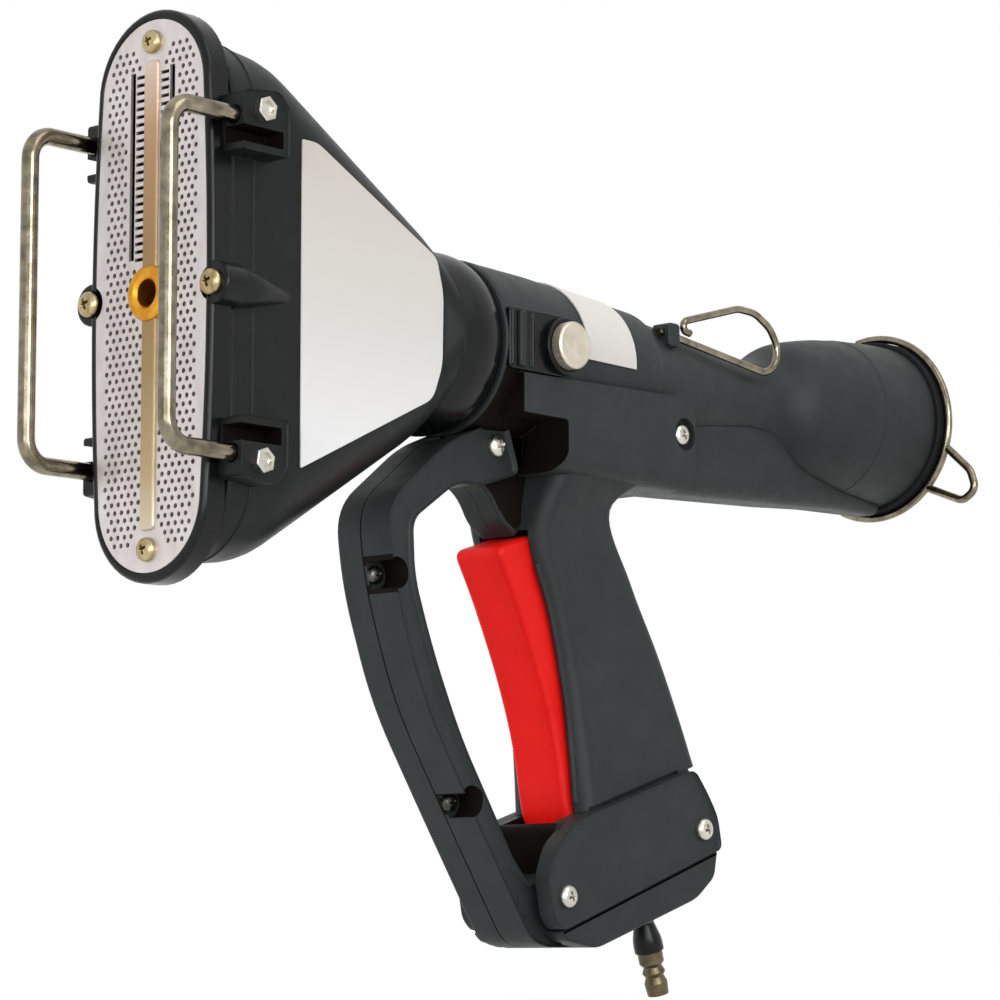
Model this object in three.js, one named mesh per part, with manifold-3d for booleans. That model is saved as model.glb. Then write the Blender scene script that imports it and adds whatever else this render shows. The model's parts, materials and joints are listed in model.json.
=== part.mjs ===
// A hand-held gas hot air tool with a wide flat burner head, in millimetres.
// The origin is where the centre line of the raked grip meets the axis that the head swivels on.
// The flame leaves towards -X, +Z is up, and the near side shown in the photograph is -Y.
import * as THREE from 'three';
import { mergeVertices } from 'three/addons/utils/BufferGeometryUtils.js';
import { ConvexGeometry } from 'three/addons/geometries/ConvexGeometry.js';
import Module from 'manifold-3d';

const wasm = await Module();
wasm.setup();

// Driving dimensions: places along the swivel axis
const faceX = -200;
const rimBackX = faceX + 10;
const kneeX = faceX + 38;
const flatEndX = faceX + 116;
const neckX = faceX + 124;
const collarBackX = faceX + 145;
const housingFrontX = collarBackX + 1;
const housingEndX = 45;
const barrelEndX = 121;
const bellEndX = 182;
const capEndX = 223;

// Driving dimensions: the burner head
const headHalfWidth = 29.5;
const headHalfHeight = 93;
const kneeHalfHeight = 89.5;
const flatEndHalfHeight = 41.4;
const headWall = 3;
const rim = { halfHeight: 100, halfWidth: 31, endRadius: 28.5 };
const plate = { halfHeight: 96.4, halfWidth: 28, endRadius: 25.5 };
const mouth = { halfHeight: plate.halfHeight - 12.4, halfWidth: 25, endRadius: 22.5 };
const plateFrontX = faceX + 0.4;
const plateThickness = 1.2;
const plateScrewZ = plate.halfHeight - 7.9;
const ridgeHalfHeight = plate.halfHeight - 14.4;
const ringRadius = 9.7;
const ringNeckRadius = 7;
const burnerTubeRadius = 6;
const burnerTubeEndX = 6;
const electrodeZ = burnerTubeRadius + 3.1;
const sideScrewY = 31;
const guardHalfHeight = 58;
const guardWireRadius = 3.1;
const guardY = 35.5;
const guardFrontX = faceX - 24;
const guardLegEndX = rimBackX + 13;
const clampFrontX = faceX + 5.5;
const clampScrew = { x: faceX + 14.6, z: 60.4 };
const clampFaceY = guardY + guardWireRadius + 1.4;

// Driving dimensions: the body, the grip and the base
const collarRadius = 34.5;
const sleeveRadius = 27.5;
const sleeveWall = 2.5;
const sleeveEndX = -8;
const runningFit = 0.05;
const seatGap = 0.1;
const shellWall = 3;
const saddleTop = { front: -11.8, back: -9.3 };
const saddleFrontX = -45;
const saddleBackX = 59;
const saddleBottomZ = -46;
const gripRake = THREE.MathUtils.degToRad(17.5);
const gripTop = -60;
const gripBottom = -165.7;
const baseHalfWidth = 23;
const coverThickness = 6;
const guardLoopHalfWidth = 13;
const guardFootBack = -63.2;
const coverBottom = { front: -202.3, back: -199.6 };
const webHalfWidth = 9;
const lug = { across: -47.2, up: -23.5 };
const baseScrews = { front: { across: -70.8, up: -191 }, rear: { across: 14.2, up: -189.5 } };
const guardScrews = { upper: { across: -113, up: -57 }, lower: { across: -99.6, up: -146 } };
const guardScrewSeat = 1.2;
const guardPocketRadius = 5.8;
const saddleScrew = { x: 52.5, z: -24 };
const triggerHalfWidth = 11.8;
const triggerPivot = { across: -41, up: -176 };
const igniterUp = -88;
const springUp = -112;
const valveUp = -138;
const inletAcross = -5;
const lockX = -23.5;
const lockZ = 0.2;
const pinRadius = 2.9;
const leadDropX = 3;
const pipeRadius = 3;
const pipeRunZ = -33.8;
const injectorX = 138;
const valveTop = -128;
const inletTop = -208.1;
const fairingEndX = 211;
const barrelTip = { outer: 17.4, seat: 16.2, inner: 14.2 };
const loopHinge = { x: 54, y: -20, z: 17.4, slope: -0.126 };
const loopWireRadius = 1.5;
const capRadius = 35;
const farAway = 300;

// Outer profiles of the turned covers, as [place on the axis, radius]
const housingProfile = [
  [housingFrontX, 33],
  [housingFrontX + 1.5, 33.6],
  [-20, 32.2],
  [10, 29.8],
  [housingEndX - 2, 27.2],
  [housingEndX, 26.2],
];
const bellProfile = [
  [barrelEndX - 5, barrelTip.outer],
  [barrelEndX + 4, 17.6],
  [barrelEndX + 11, 18.8],
  [barrelEndX + 17, 21.8],
  [barrelEndX + 22, 25.6],
  [barrelEndX + 27, 27.9],
  [barrelEndX + 36, 30],
  [barrelEndX + 48, 32.1],
  [bellEndX, 33.5],
];
const capProfile = [
  [bellEndX + 0.05, 33.7],
  [capEndX - 18, capRadius],
  [capEndX, capRadius],
];

// Colours and finishes
const charcoal = new THREE.MeshStandardMaterial({ color: 0x3b4243, roughness: 0.62, metalness: 0 });
const glossBlack = new THREE.MeshStandardMaterial({ color: 0x101213, roughness: 0.25, metalness: 0 });
const triggerRed = new THREE.MeshStandardMaterial({ color: 0xe0281a, roughness: 0.45, metalness: 0 });
const stainless = new THREE.MeshStandardMaterial({ color: 0xd9d6d6, roughness: 0.35, metalness: 0.9 });
const tintedSteel = new THREE.MeshStandardMaterial({ color: 0xb48a4c, roughness: 0.35, metalness: 0.9 });
const chrome = new THREE.MeshStandardMaterial({ color: 0xc9c8c0, roughness: 0.15, metalness: 1 });
const zinc = new THREE.MeshStandardMaterial({ color: 0xb9bab5, roughness: 0.35, metalness: 1 });
const yellowZinc = new THREE.MeshStandardMaterial({ color: 0xc8b27c, roughness: 0.35, metalness: 1 });
const brass = new THREE.MeshStandardMaterial({ color: 0xd9992b, roughness: 0.3, metalness: 1 });
const bronze = new THREE.MeshStandardMaterial({ color: 0x8c6b3a, roughness: 0.45, metalness: 1 });
const copper = new THREE.MeshStandardMaterial({ color: 0xb87348, roughness: 0.35, metalness: 1 });
const spring = new THREE.MeshStandardMaterial({ color: 0x8d9093, roughness: 0.3, metalness: 1 });
const plateWhite = new THREE.MeshStandardMaterial({ color: 0xe9e7dd, roughness: 0.35, metalness: 0.1 });
const rubber = new THREE.MeshStandardMaterial({ color: 0x17181a, roughness: 0.85, metalness: 0 });
const ceramic = new THREE.MeshStandardMaterial({ color: 0xe9e4d6, roughness: 0.4, metalness: 0 });
const leadRed = new THREE.MeshStandardMaterial({ color: 0x8f2a20, roughness: 0.6, metalness: 0 });
const darkBrass = new THREE.MeshStandardMaterial({ color: 0x6c6154, roughness: 0.4, metalness: 0.8 });

const group = new THREE.Group();
group.name = 'hot_air_tool';

// A closed solid from a three.js geometry, wound outwards
function solid(geometry) {
  const bare = geometry.clone();
  for (const extra of ['normal', 'uv']) {
    bare.deleteAttribute(extra);
  }
  const merged = mergeVertices(bare, 1e-4);
  const corners = merged.attributes.position;
  const triangles = Uint32Array.from(merged.index.array);
  const a = new THREE.Vector3();
  const b = new THREE.Vector3();
  const c = new THREE.Vector3();
  let volume = 0;
  for (let i = 0; i < triangles.length; i += 3) {
    a.fromBufferAttribute(corners, triangles[i]);
    b.fromBufferAttribute(corners, triangles[i + 1]);
    c.fromBufferAttribute(corners, triangles[i + 2]);
    volume += a.dot(b.cross(c));
  }
  if (volume < 0) {
    triangles.reverse();
  }
  const vertices = Float32Array.from(corners.array);
  return new wasm.Manifold(new wasm.Mesh({ numProp: 3, vertProperties: vertices, triVerts: triangles }));
}

// Adds one named piece; its shape is a solid or a plain geometry
function piece(name, shape, material, parent = group) {
  const whole = shape.isBufferGeometry ? solid(shape) : shape;
  const surface = whole.getMesh();
  const geometry = new THREE.BufferGeometry();
  geometry.setAttribute('position', new THREE.BufferAttribute(surface.vertProperties, 3));
  geometry.setIndex(new THREE.BufferAttribute(surface.triVerts, 1));
  const mesh = new THREE.Mesh(geometry, material);
  mesh.name = name;
  parent.add(mesh);
  return mesh;
}

function joined(...shapes) {
  return shapes.reduce((whole, next) => whole.add(next));
}

// Places a piece so that its own +Y points along the given direction
function place(mesh, position, direction) {
  mesh.position.set(...position);
  mesh.quaternion.setFromUnitVectors(new THREE.Vector3(0, 1, 0), new THREE.Vector3(...direction).normalize());
  return mesh;
}

// A point of the raked grip: across it towards the back, and up along it
function raked(across, up) {
  return [
    across * Math.cos(gripRake) - up * Math.sin(gripRake),
    across * Math.sin(gripRake) + up * Math.cos(gripRake),
  ];
}

function rakedPoint(across, y, up) {
  const [x, z] = raked(across, up);
  return [x, y, z];
}

// A closed outline through corner points, each rounded by its own third number
function outline(corners) {
  const shape = new THREE.Shape();
  const count = corners.length;
  for (let i = 0; i < count; i += 1) {
    const [x, y, radius = 0] = corners[i];
    const corner = new THREE.Vector2(x, y);
    const before = new THREE.Vector2(...corners[(i + count - 1) % count]).sub(corner);
    const after = new THREE.Vector2(...corners[(i + 1) % count]).sub(corner);
    const start = corner.clone().add(before.setLength(radius));
    const end = corner.clone().add(after.setLength(radius));
    if (i === 0) {
      shape.moveTo(start.x, start.y);
    } else {
      shape.lineTo(start.x, start.y);
    }
    if (radius > 0) {
      shape.quadraticCurveTo(x, y, end.x, end.y);
    }
  }
  return shape;
}

// Pushes an outline out into a solid between two places along x or y, with eased edges.
// 'raked' is along y too, with the outline measured across and up the raked grip.
function prism(shape, low, high, along, { ease = 0, curveSteps = 3 } = {}) {
  const geometry = new THREE.ExtrudeGeometry(shape, {
    depth: high - low - 2 * ease,
    bevelEnabled: ease > 0,
    bevelThickness: ease,
    bevelSize: ease,
    bevelOffset: -ease,
    bevelSegments: 1,
    curveSegments: curveSteps,
  });
  geometry.translate(0, 0, ease);
  const xAxis = new THREE.Vector3(1, 0, 0);
  const yAxis = new THREE.Vector3(0, 1, 0);
  const zAxis = new THREE.Vector3(0, 0, 1);
  if (along === 'x') {
    geometry.applyMatrix4(new THREE.Matrix4().makeBasis(yAxis, zAxis, xAxis).setPosition(low, 0, 0));
  } else {
    const turn = new THREE.Matrix4().makeBasis(xAxis, zAxis, yAxis.negate());
    geometry.applyMatrix4(turn.setPosition(0, high, 0));
  }
  if (along === 'raked') {
    geometry.rotateY(-gripRake);
  }
  return solid(geometry);
}

// Turns a closed profile of [place on the axis, radius] points around the swivel axis
function turned(profile, sides = 24) {
  const points = [...profile, profile[0]].map(([x, radius]) => new THREE.Vector2(radius, x));
  return solid(new THREE.LatheGeometry(points, sides).rotateZ(-Math.PI / 2));
}

// Turns a profile of [radius, height] points that starts and ends on the +Y axis
function turnedUp(profile, sides = 12) {
  return new THREE.LatheGeometry(profile.map(([radius, height]) => new THREE.Vector2(radius, height)), sides);
}

// A round bar between two points
function bar(from, to, radius, sides = 12) {
  const start = new THREE.Vector3(...from);
  const end = new THREE.Vector3(...to);
  const span = end.clone().sub(start);
  const geometry = new THREE.CylinderGeometry(radius, radius, span.length(), sides);
  geometry.applyQuaternion(new THREE.Quaternion().setFromUnitVectors(
    new THREE.Vector3(0, 1, 0),
    span.clone().normalize(),
  ));
  geometry.translate(...start.add(end).multiplyScalar(0.5).toArray());
  return solid(geometry);
}

// A block between two opposite corners
function blockGeometry(corner, opposite) {
  const size = corner.map((value, i) => Math.abs(opposite[i] - value));
  const middle = corner.map((value, i) => (opposite[i] + value) / 2);
  return new THREE.BoxGeometry(...size).translate(...middle);
}

function block(corner, opposite) {
  return solid(blockGeometry(corner, opposite));
}

// The same block, with its X and Z measured across and up the raked grip
function rakedBlock(corner, opposite) {
  return solid(blockGeometry(corner, opposite).rotateY(-gripRake));
}

// The tightest skin over a set of points
function skin(points) {
  return solid(new ConvexGeometry(points));
}

// A solid through rings that have the same number of points, with flat ends
function loft(...rings) {
  const count = rings[0].length;
  const triangles = [];
  for (let i = 0; i < rings.length - 1; i += 1) {
    for (let k = 0; k < count; k += 1) {
      const next = (k + 1) % count;
      const corners = [[i, k], [i, next], [i + 1, next], [i + 1, k]].map(([ring, at]) => rings[ring][at]);
      triangles.push([corners[0], corners[1], corners[2]], [corners[0], corners[2], corners[3]]);
    }
  }
  const last = rings.at(-1);
  for (let k = 1; k < count - 1; k += 1) {
    triangles.push([rings[0][0], rings[0][k + 1], rings[0][k]], [last[0], last[k], last[k + 1]]);
  }
  const near = 1e-4;
  const whole = triangles.filter(([a, b, c]) => {
    return a.distanceTo(b) > near && b.distanceTo(c) > near && c.distanceTo(a) > near;
  });
  return solid(new THREE.BufferGeometry().setFromPoints(whole.flat()));
}

// Long oval with slightly bulging sides, as [y, z] points
function ovalPoints({ halfHeight, halfWidth, endRadius }, inset = 0) {
  const endSteps = 8;
  const sideSteps = halfWidth > endRadius ? 4 : 1;
  const arcHeight = halfHeight - endRadius;
  const points = [];
  for (const side of [1, -1]) {
    for (let i = 0; i < endSteps; i += 1) {
      const angle = (Math.PI * i) / endSteps;
      const radius = endRadius - inset;
      points.push([side * radius * Math.cos(angle), side * (arcHeight + radius * Math.sin(angle))]);
    }
    for (let i = 0; i < sideSteps; i += 1) {
      const place = 1 - (2 * i) / sideSteps;
      const bulge = (halfWidth - endRadius) * (1 - place ** 2);
      points.push([-side * (endRadius + bulge - inset), side * arcHeight * place]);
    }
  }
  return points;
}

function ovalRing(x, oval, inset = 0) {
  return ovalPoints(oval, inset).map(([y, z]) => new THREE.Vector3(x, y, z));
}

function ovalShape(oval, inset = 0) {
  return new THREE.Shape(ovalPoints(oval, inset).map(([y, z]) => new THREE.Vector2(y, z)));
}

// A path that has a stop only where the wire starts, bends or ends
class WirePath extends THREE.Curve {
  constructor(stops) {
    super();
    this.stops = stops;
  }

  stopAt(part) {
    return this.stops[Math.round(part * (this.stops.length - 1))];
  }

  getPoint(part) {
    return this.stopAt(part).point.clone();
  }

  getPointAt(part) {
    return this.getPoint(part);
  }

  getTangentAt(part) {
    return this.stopAt(part).heading.clone();
  }
}

// Round wire through corner points, bent to one radius at each inner corner
function bentWire(corners, bendRadius, wireRadius, { bendSteps = 4, sides = 10 } = {}) {
  const points = corners.map((corner) => new THREE.Vector3(...corner));
  const stops = [];
  points.forEach((corner, i) => {
    const arriving = i > 0 ? corner.clone().sub(points[i - 1]).normalize() : null;
    const leaving = i < points.length - 1 ? points[i + 1].clone().sub(corner).normalize() : null;
    if (!arriving || !leaving) {
      stops.push({ point: corner, heading: arriving ?? leaving });
      return;
    }
    const turn = arriving.angleTo(leaving);
    const setBack = bendRadius * Math.tan(turn / 2);
    const start = corner.clone().addScaledVector(arriving, -setBack);
    const inward = leaving.clone().sub(arriving.clone().multiplyScalar(arriving.dot(leaving))).normalize();
    for (let step = 0; step <= bendSteps; step += 1) {
      const angle = (turn * step) / bendSteps;
      const point = start.clone()
        .addScaledVector(arriving, bendRadius * Math.sin(angle))
        .addScaledVector(inward, bendRadius * (1 - Math.cos(angle)));
      const heading = arriving.clone()
        .multiplyScalar(Math.cos(angle))
        .addScaledVector(inward, Math.sin(angle));
      stops.push({ point, heading });
    }
  });
  return wireAlong(stops, wireRadius, sides);
}

// Round wire along a list of stops
function wireAlong(stops, wireRadius, sides) {
  return solid(new THREE.ExtrudeGeometry(regularShape(wireRadius, sides), {
    steps: stops.length - 1,
    extrudePath: new WirePath(stops),
  }));
}

function regularShape(radius, sides) {
  return new THREE.Shape(Array.from({ length: sides }, (_, i) => {
    const angle = (2 * Math.PI * i) / sides;
    return new THREE.Vector2(radius * Math.cos(angle), radius * Math.sin(angle));
  }));
}

// The path of a coil that climbs along +Y
class CoilPath extends THREE.Curve {
  constructor(radius, height, turns) {
    super();
    this.radius = radius;
    this.height = height;
    this.turns = turns;
  }

  getPoint(part) {
    const angle = 2 * Math.PI * this.turns * part;
    const [across, out] = [this.radius * Math.cos(angle), this.radius * Math.sin(angle)];
    return new THREE.Vector3(across, this.height * part, out);
  }
}

function coil(radius, wireRadius, height, turns) {
  const stepsInTurn = 7;
  return new THREE.ExtrudeGeometry(regularShape(wireRadius, 5), {
    steps: turns * stepsInTurn,
    extrudePath: new CoilPath(radius, height, turns),
  });
}

// A pan-head screw with a cross recess; its seat is at the origin and its head is on +Y
function panScrew(headRadius, shankRadius, shankLength) {
  const headHeight = headRadius * 0.6;
  const recess = headRadius * 0.55;
  const slot = headRadius * 0.14;
  const whole = solid(turnedUp([
    [0, -shankLength],
    [shankRadius, -shankLength],
    [shankRadius, 0],
    [headRadius, 0],
    [headRadius, headHeight * 0.45],
    [headRadius * 0.72, headHeight],
    [0, headHeight],
  ]));
  const depth = headHeight * 0.45;
  return whole
    .subtract(block([-recess, depth, -slot], [recess, headHeight + 1, slot]))
    .subtract(block([-slot, depth, -recess], [slot, headHeight + 1, recess]));
}

// A hexagon-head screw, seated and pointed like the pan-head one
function hexScrew(acrossCorners, shankRadius, shankLength) {
  const headHeight = acrossCorners * 0.35;
  const head = solid(new THREE.CylinderGeometry(acrossCorners / 2, acrossCorners / 2, headHeight, 6)
    .translate(0, headHeight / 2, 0));
  return head.add(bar([0, -shankLength, 0], [0, 0.01, 0], shankRadius, 12));
}

// Burner head
function headSkins(inset, frontX, neckRadius, backX) {
  const oval = (halfHeight, halfWidth) => ({ halfHeight, halfWidth, endRadius: halfWidth });
  return loft(
    ovalRing(frontX, oval(headHalfHeight, headHalfWidth), inset),
    ovalRing(kneeX, oval(kneeHalfHeight, headHalfWidth), inset),
    ovalRing(flatEndX, oval(flatEndHalfHeight, headHalfWidth), inset),
    ovalRing(backX, oval(neckRadius, neckRadius)),
  );
}

function makeHeadShell() {
  const boreRadius = sleeveRadius + seatGap;
  const outside = headSkins(0, rimBackX, collarRadius - 1.5, neckX);
  const inside = joined(
    headSkins(headWall, rimBackX - 1, boreRadius, neckX - 3),
    bar([neckX - 4, 0, 0], [neckX + 1, 0, 0], boreRadius, 24),
  );
  const additions = [];
  const holes = [];
  for (const side of [-1, 1]) {
    additions.push(makeScrewFin(side));
    holes.push(bar([rimBackX - 1, side * sideScrewY, 0], [rimBackX + 14, side * sideScrewY, 0], 2 + seatGap));
    for (const end of [-1, 1]) {
      additions.push(makeGuardClamp(side, end));
      const legY = side * guardY;
      const legZ = end * guardHalfHeight;
      const screwZ = end * clampScrew.z;
      const screwTop = [clampScrew.x, side * (clampFaceY + 1), screwZ];
      holes.push(bar([faceX, legY, legZ], [guardLegEndX + 1, legY, legZ], guardWireRadius + 1.5 * seatGap));
      holes.push(bar(screwTop, [clampScrew.x, legY, screwZ], 2 + seatGap));
    }
  }
  return outside.subtract(inside).add(joined(...additions)).subtract(joined(...holes));
}

// The tapered fin behind each middle screw
function makeScrewFin(side) {
  const root = side * (headHalfWidth - 2);
  const crest = side * (sideScrewY + 5);
  const corner = (x, y, z) => new THREE.Vector3(x, y, z);
  const points = [];
  for (const end of [-1, 1]) {
    points.push(corner(rimBackX, root, end * 9), corner(rimBackX, crest, end * 6));
    points.push(corner(rimBackX + 10, crest, end * 5), corner(rimBackX + 31, root, end * 1.5));
  }
  return skin(points);
}

// The raised block beside the rim that a guard rod's leg is pushed into, with a channel along the leg
function makeGuardClamp(side, end) {
  const root = side * (headHalfWidth - 0.5);
  const crest = side * clampFaceY;
  const shape = outline([
    [clampFrontX, end * 45.5],
    [clampFrontX, end * 66],
    [rimBackX + 12, end * 68, 2],
    [rimBackX + 17.5, end * 62, 2],
    [rimBackX + 17.5, end * 45.5],
  ]);
  const channel = block(
    [clampFrontX - 1, crest - side * 4, end * 48.2],
    [rimBackX + 14.7, crest + side, end * 54.2],
  );
  return prism(shape, Math.min(root, crest), Math.max(root, crest), 'y', { curveSteps: 2 })
    .subtract(channel)
    .subtract(prism(ovalShape(rim, -seatGap), faceX - 1, rimBackX, 'x'));
}

function makeFrontRim() {
  const screwLine = (side) => [[faceX - 1, side * sideScrewY, 0], [rimBackX + 1, side * sideScrewY, 0]];
  const lobes = [-1, 1].map((side) => bar(
    [plateFrontX, side * sideScrewY, 0],
    [rimBackX, side * sideScrewY, 0],
    7.5,
    16,
  ));
  const holes = [-1, 1].flatMap((side) => [
    bar(...screwLine(side), 2 + seatGap),
    bar([faceX - 1, side * sideScrewY, 0], [plateFrontX, side * sideScrewY, 0], 4.8, 16),
    bar([faceX - 1, 0, side * plateScrewZ], [faceX + 8, 0, side * plateScrewZ], 1.5 + seatGap, 12),
  ]);
  return joined(prism(ovalShape(rim), faceX, rimBackX, 'x', { ease: 1.6 }), ...lobes)
    .subtract(prism(ovalShape(mouth), faceX - 1, rimBackX + 1, 'x'))
    .subtract(prism(ovalShape(plate, -seatGap), faceX - 1, plateFrontX + plateThickness, 'x'))
    .subtract(joined(...holes));
}

// The burner plate: a tinted ridge down the middle, with a row of air slots on each side of it
function makeBurnerPlate() {
  const back = plateFrontX + plateThickness;
  const slotPitch = 11.2;
  const slotHalf = { y: 2, z: 1 };
  const slotY = 6.2;
  const firstRow = 2;
  const lastRow = 6;
  const ridge = prism(outline([
    [-3.5, -ridgeHalfHeight, 2],
    [3.5, -ridgeHalfHeight, 2],
    [3.5, ridgeHalfHeight, 2],
    [-3.5, ridgeHalfHeight, 2],
  ]), plateFrontX - 1.2, plateFrontX + 0.5, 'x', { curveSteps: 2 });
  const cuts = [bar([faceX - 3, 0, 0], [back + 1, 0, 0], ringRadius + seatGap, 28)];
  for (const side of [-1, 1]) {
    for (let row = -lastRow; row <= lastRow; row += 1) {
      if (Math.abs(row) >= firstRow) {
        const z = row * slotPitch;
        const [low, high] = [side * slotY - slotHalf.y, side * slotY + slotHalf.y];
        cuts.push(block([faceX, low, z - slotHalf.z], [back + 1, high, z + slotHalf.z]));
      }
    }
    cuts.push(bar([faceX - 1, 0, side * plateScrewZ], [back + 1, 0, side * plateScrewZ], 1.5 + seatGap, 12));
  }
  return prism(ovalShape(plate), plateFrontX, back, 'x').add(ridge).subtract(joined(...cuts));
}

function makeInjectorRing() {
  const bore = 4.8;
  return turned([
    [faceX - 2.6, bore + 1.2],
    [faceX - 2.6, ringRadius - 1.4],
    [faceX - 1.2, ringRadius],
    [faceX + 2, ringRadius],
    [faceX + 2, ringNeckRadius],
    [faceX + 10, ringNeckRadius],
    [faceX + 10, bore],
    [faceX - 1.4, bore],
  ], 24);
}

function makeSleeve() {
  const grooveHalf = pinRadius + 0.2;
  const inner = sleeveRadius - sleeveWall;
  const tube = turned([
    [neckX - 3, inner],
    [neckX - 3, sleeveRadius],
    [lockX - grooveHalf, sleeveRadius],
    [lockX - grooveHalf, sleeveRadius - 1.3],
    [lockX + grooveHalf, sleeveRadius - 1.3],
    [lockX + grooveHalf, sleeveRadius],
    [sleeveEndX, sleeveRadius],
    [sleeveEndX, inner],
  ]);
  const webX = collarBackX - 8;
  const windows = [0, 1, 2, 3].map((i) => {
    const angle = (Math.PI / 2) * i;
    const [y, z] = [15.5 * Math.cos(angle), 15.5 * Math.sin(angle)];
    return bar([webX - 3, y, z], [webX + 3, y, z], 6.5, 9);
  });
  const web = bar([webX - 2, 0, 0], [webX + 2, 0, 0], inner + 0.5, 24)
    .subtract(bar([webX - 3, 0, 0], [webX + 3, 0, 0], burnerTubeRadius + seatGap, 24))
    .subtract(joined(...windows));
  return tube.add(web);
}

function makeHead() {
  piece('head_shell', makeHeadShell(), charcoal);
  piece('front_rim', makeFrontRim(), glossBlack);
  piece('burner_plate', makeBurnerPlate(), stainless);
  piece('injector_ring', makeInjectorRing(), brass);
  piece('neck_collar', turned([
    [neckX, sleeveRadius + seatGap],
    [neckX, collarRadius - 1.4],
    [neckX + 3, collarRadius],
    [collarBackX - 1.5, collarRadius],
    [collarBackX, collarRadius - 1.4],
    [collarBackX, sleeveRadius + seatGap],
  ]), glossBlack);
  piece('neck_seal', turned([
    [collarBackX, sleeveRadius + 0.3],
    [collarBackX, collarRadius - 3.5],
    [housingFrontX - 0.1, collarRadius - 3.5],
    [housingFrontX - 0.1, sleeveRadius + 0.3],
  ]), rubber);
  piece('swivel_sleeve', makeSleeve(), zinc);
  piece('burner_tube', turned([
    [faceX + 10, burnerTubeRadius - 1.2],
    [faceX + 10, burnerTubeRadius],
    [burnerTubeEndX, burnerTubeRadius],
    [burnerTubeEndX, burnerTubeRadius - 1.2],
  ], 12), tintedSteel);
  const electrodeRadius = 0.9;
  const insulatorFrontX = faceX + 12;
  const insulatorBackX = insulatorFrontX + 42;
  const electrodeBackX = collarBackX - 10;
  const onElectrode = (x) => [x, 0, electrodeZ];
  piece('electrode_insulator', bar(onElectrode(insulatorFrontX), onElectrode(insulatorBackX), 3, 16)
    .subtract(bar(onElectrode(insulatorFrontX - 1), onElectrode(insulatorBackX + 1), 1, 12)), ceramic);
  const electrode = bar(onElectrode(faceX + 3), onElectrode(electrodeBackX), electrodeRadius, 10);
  piece('spark_electrode', electrode, zinc);
  for (const [end, side] of [['upper', 1], ['lower', -1]]) {
    const screw = piece(`plate_screw_${end}`, panScrew(4.2, 1.5, 7), yellowZinc);
    place(screw, [plateFrontX, 0, side * plateScrewZ], [-1, 0, 0]);
  }
  for (const [name, side] of [['near', -1], ['far', 1]]) {
    const sideScrew = piece(`side_screw_${name}`, panScrew(4.6, 2, 22), yellowZinc);
    place(sideScrew, [plateFrontX - 0.05, side * sideScrewY, 0], [-1, 0, 0]);
    const y = side * guardY;
    piece(`guard_rod_${name}`, bentWire([
      [guardLegEndX, y, guardHalfHeight],
      [guardFrontX, y, guardHalfHeight],
      [guardFrontX, y, -guardHalfHeight],
      [guardLegEndX, y, -guardHalfHeight],
    ], 9, guardWireRadius, { bendSteps: 3 }), chrome);
    for (const [end, up] of [['upper', 1], ['lower', -1]]) {
      const screw = piece(`clamp_screw_${name}_${end}`, hexScrew(9, 2, 1.2), zinc);
      place(screw, [clampScrew.x, side * clampFaceY, up * clampScrew.z], [0, side, 0]);
    }
  }
  const labelBack = -headHalfWidth - 0.02;
  piece('label_plate', prism(outline([
    [faceX + 43.5, -59, 1],
    [faceX + 110, -27, 4],
    [faceX + 115, -14, 4],
    [faceX + 115.5, 12, 4],
    [faceX + 112, 25, 3],
    [faceX + 51, 57, 3],
    [faceX + 43.5, 57, 1],
  ]), labelBack - 0.6, labelBack, 'y'), plateWhite);
}

// Body: the housing that carries the head, and the air passage behind it
function makeHousing() {
  const bushRadius = 30.05;
  const roomRadius = 28.7;
  const shell = turned([
    [housingFrontX, bushRadius],
    ...housingProfile,
    [housingEndX, 23.65],
    [housingEndX - 4, 23.65],
    [housingEndX - 4, 24.4],
    [2, roomRadius - 1.5],
    [sleeveEndX, roomRadius],
    [-30, roomRadius],
    [-30, bushRadius],
  ]);
  const ribs = [0, 1, 2].map((i) => {
    const x = housingFrontX + 1.5 + 4.6 * i;
    return block([x, -35.3, -6], [x + 2.6, -29, 15]);
  });
  return shell.add(joined(...ribs).subtract(turnedRoom(bushRadius + 1)))
    .subtract(bar([lockX, -40, lockZ], [lockX, -20, lockZ], 5.2, 24))
    .subtract(bar([leadDropX, 0, -40], [leadDropX, 0, -20], 1.8, 12));
}

// A plain cylinder round the axis, long enough to clear anything inside it
function turnedRoom(radius) {
  return bar([housingFrontX - 1, 0, 0], [housingEndX, 0, 0], radius, 24);
}

// The outer form of the housing and the barrel, grown by a gap
function bodyRoom(gap) {
  return turned([
    [housingFrontX - 30, 0],
    [housingFrontX - 30, collarRadius + 0.8],
    [housingFrontX, collarRadius + 0.8],
    ...housingProfile.map(([x, radius]) => [x, radius + gap]),
    [housingEndX, 25.2 + gap],
    [barrelEndX - 5, barrelTip.outer + gap],
    [barrelEndX, barrelTip.outer + gap],
    [barrelEndX, 0],
  ]);
}

function makeLockSocket() {
  const outer = 10.9;
  const top = -38;
  const floor = -35.6;
  const chamberTop = -34;
  const whole = bar([lockX, top, lockZ], [lockX, -26, lockZ], outer, 20);
  return whole
    .subtract(bodyRoom(seatGap))
    .subtract(bar([lockX, top - 1, lockZ], [lockX, floor, lockZ], 9.3, 20))
    .subtract(bar([lockX, chamberTop, lockZ], [lockX, -20, lockZ], 5, 20))
    .subtract(bar([lockX, top, lockZ], [lockX, -20, lockZ], pinRadius + runningFit, 20));
}

// The knob with its pin, built with the pin pointing down -Y of its own frame
function makeLockKnob() {
  return turnedUp([
    [0, -9.1],
    [pinRadius - 0.5, -9.1],
    [pinRadius, -8.6],
    [pinRadius, -7.4],
    [4.4, -7.4],
    [4.4, -6.4],
    [pinRadius, -6.4],
    [pinRadius, 0.1],
    [9, 0.1],
    [9, 4],
    [8.2, 4.8],
    [0, 4.8],
  ], 16);
}

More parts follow.
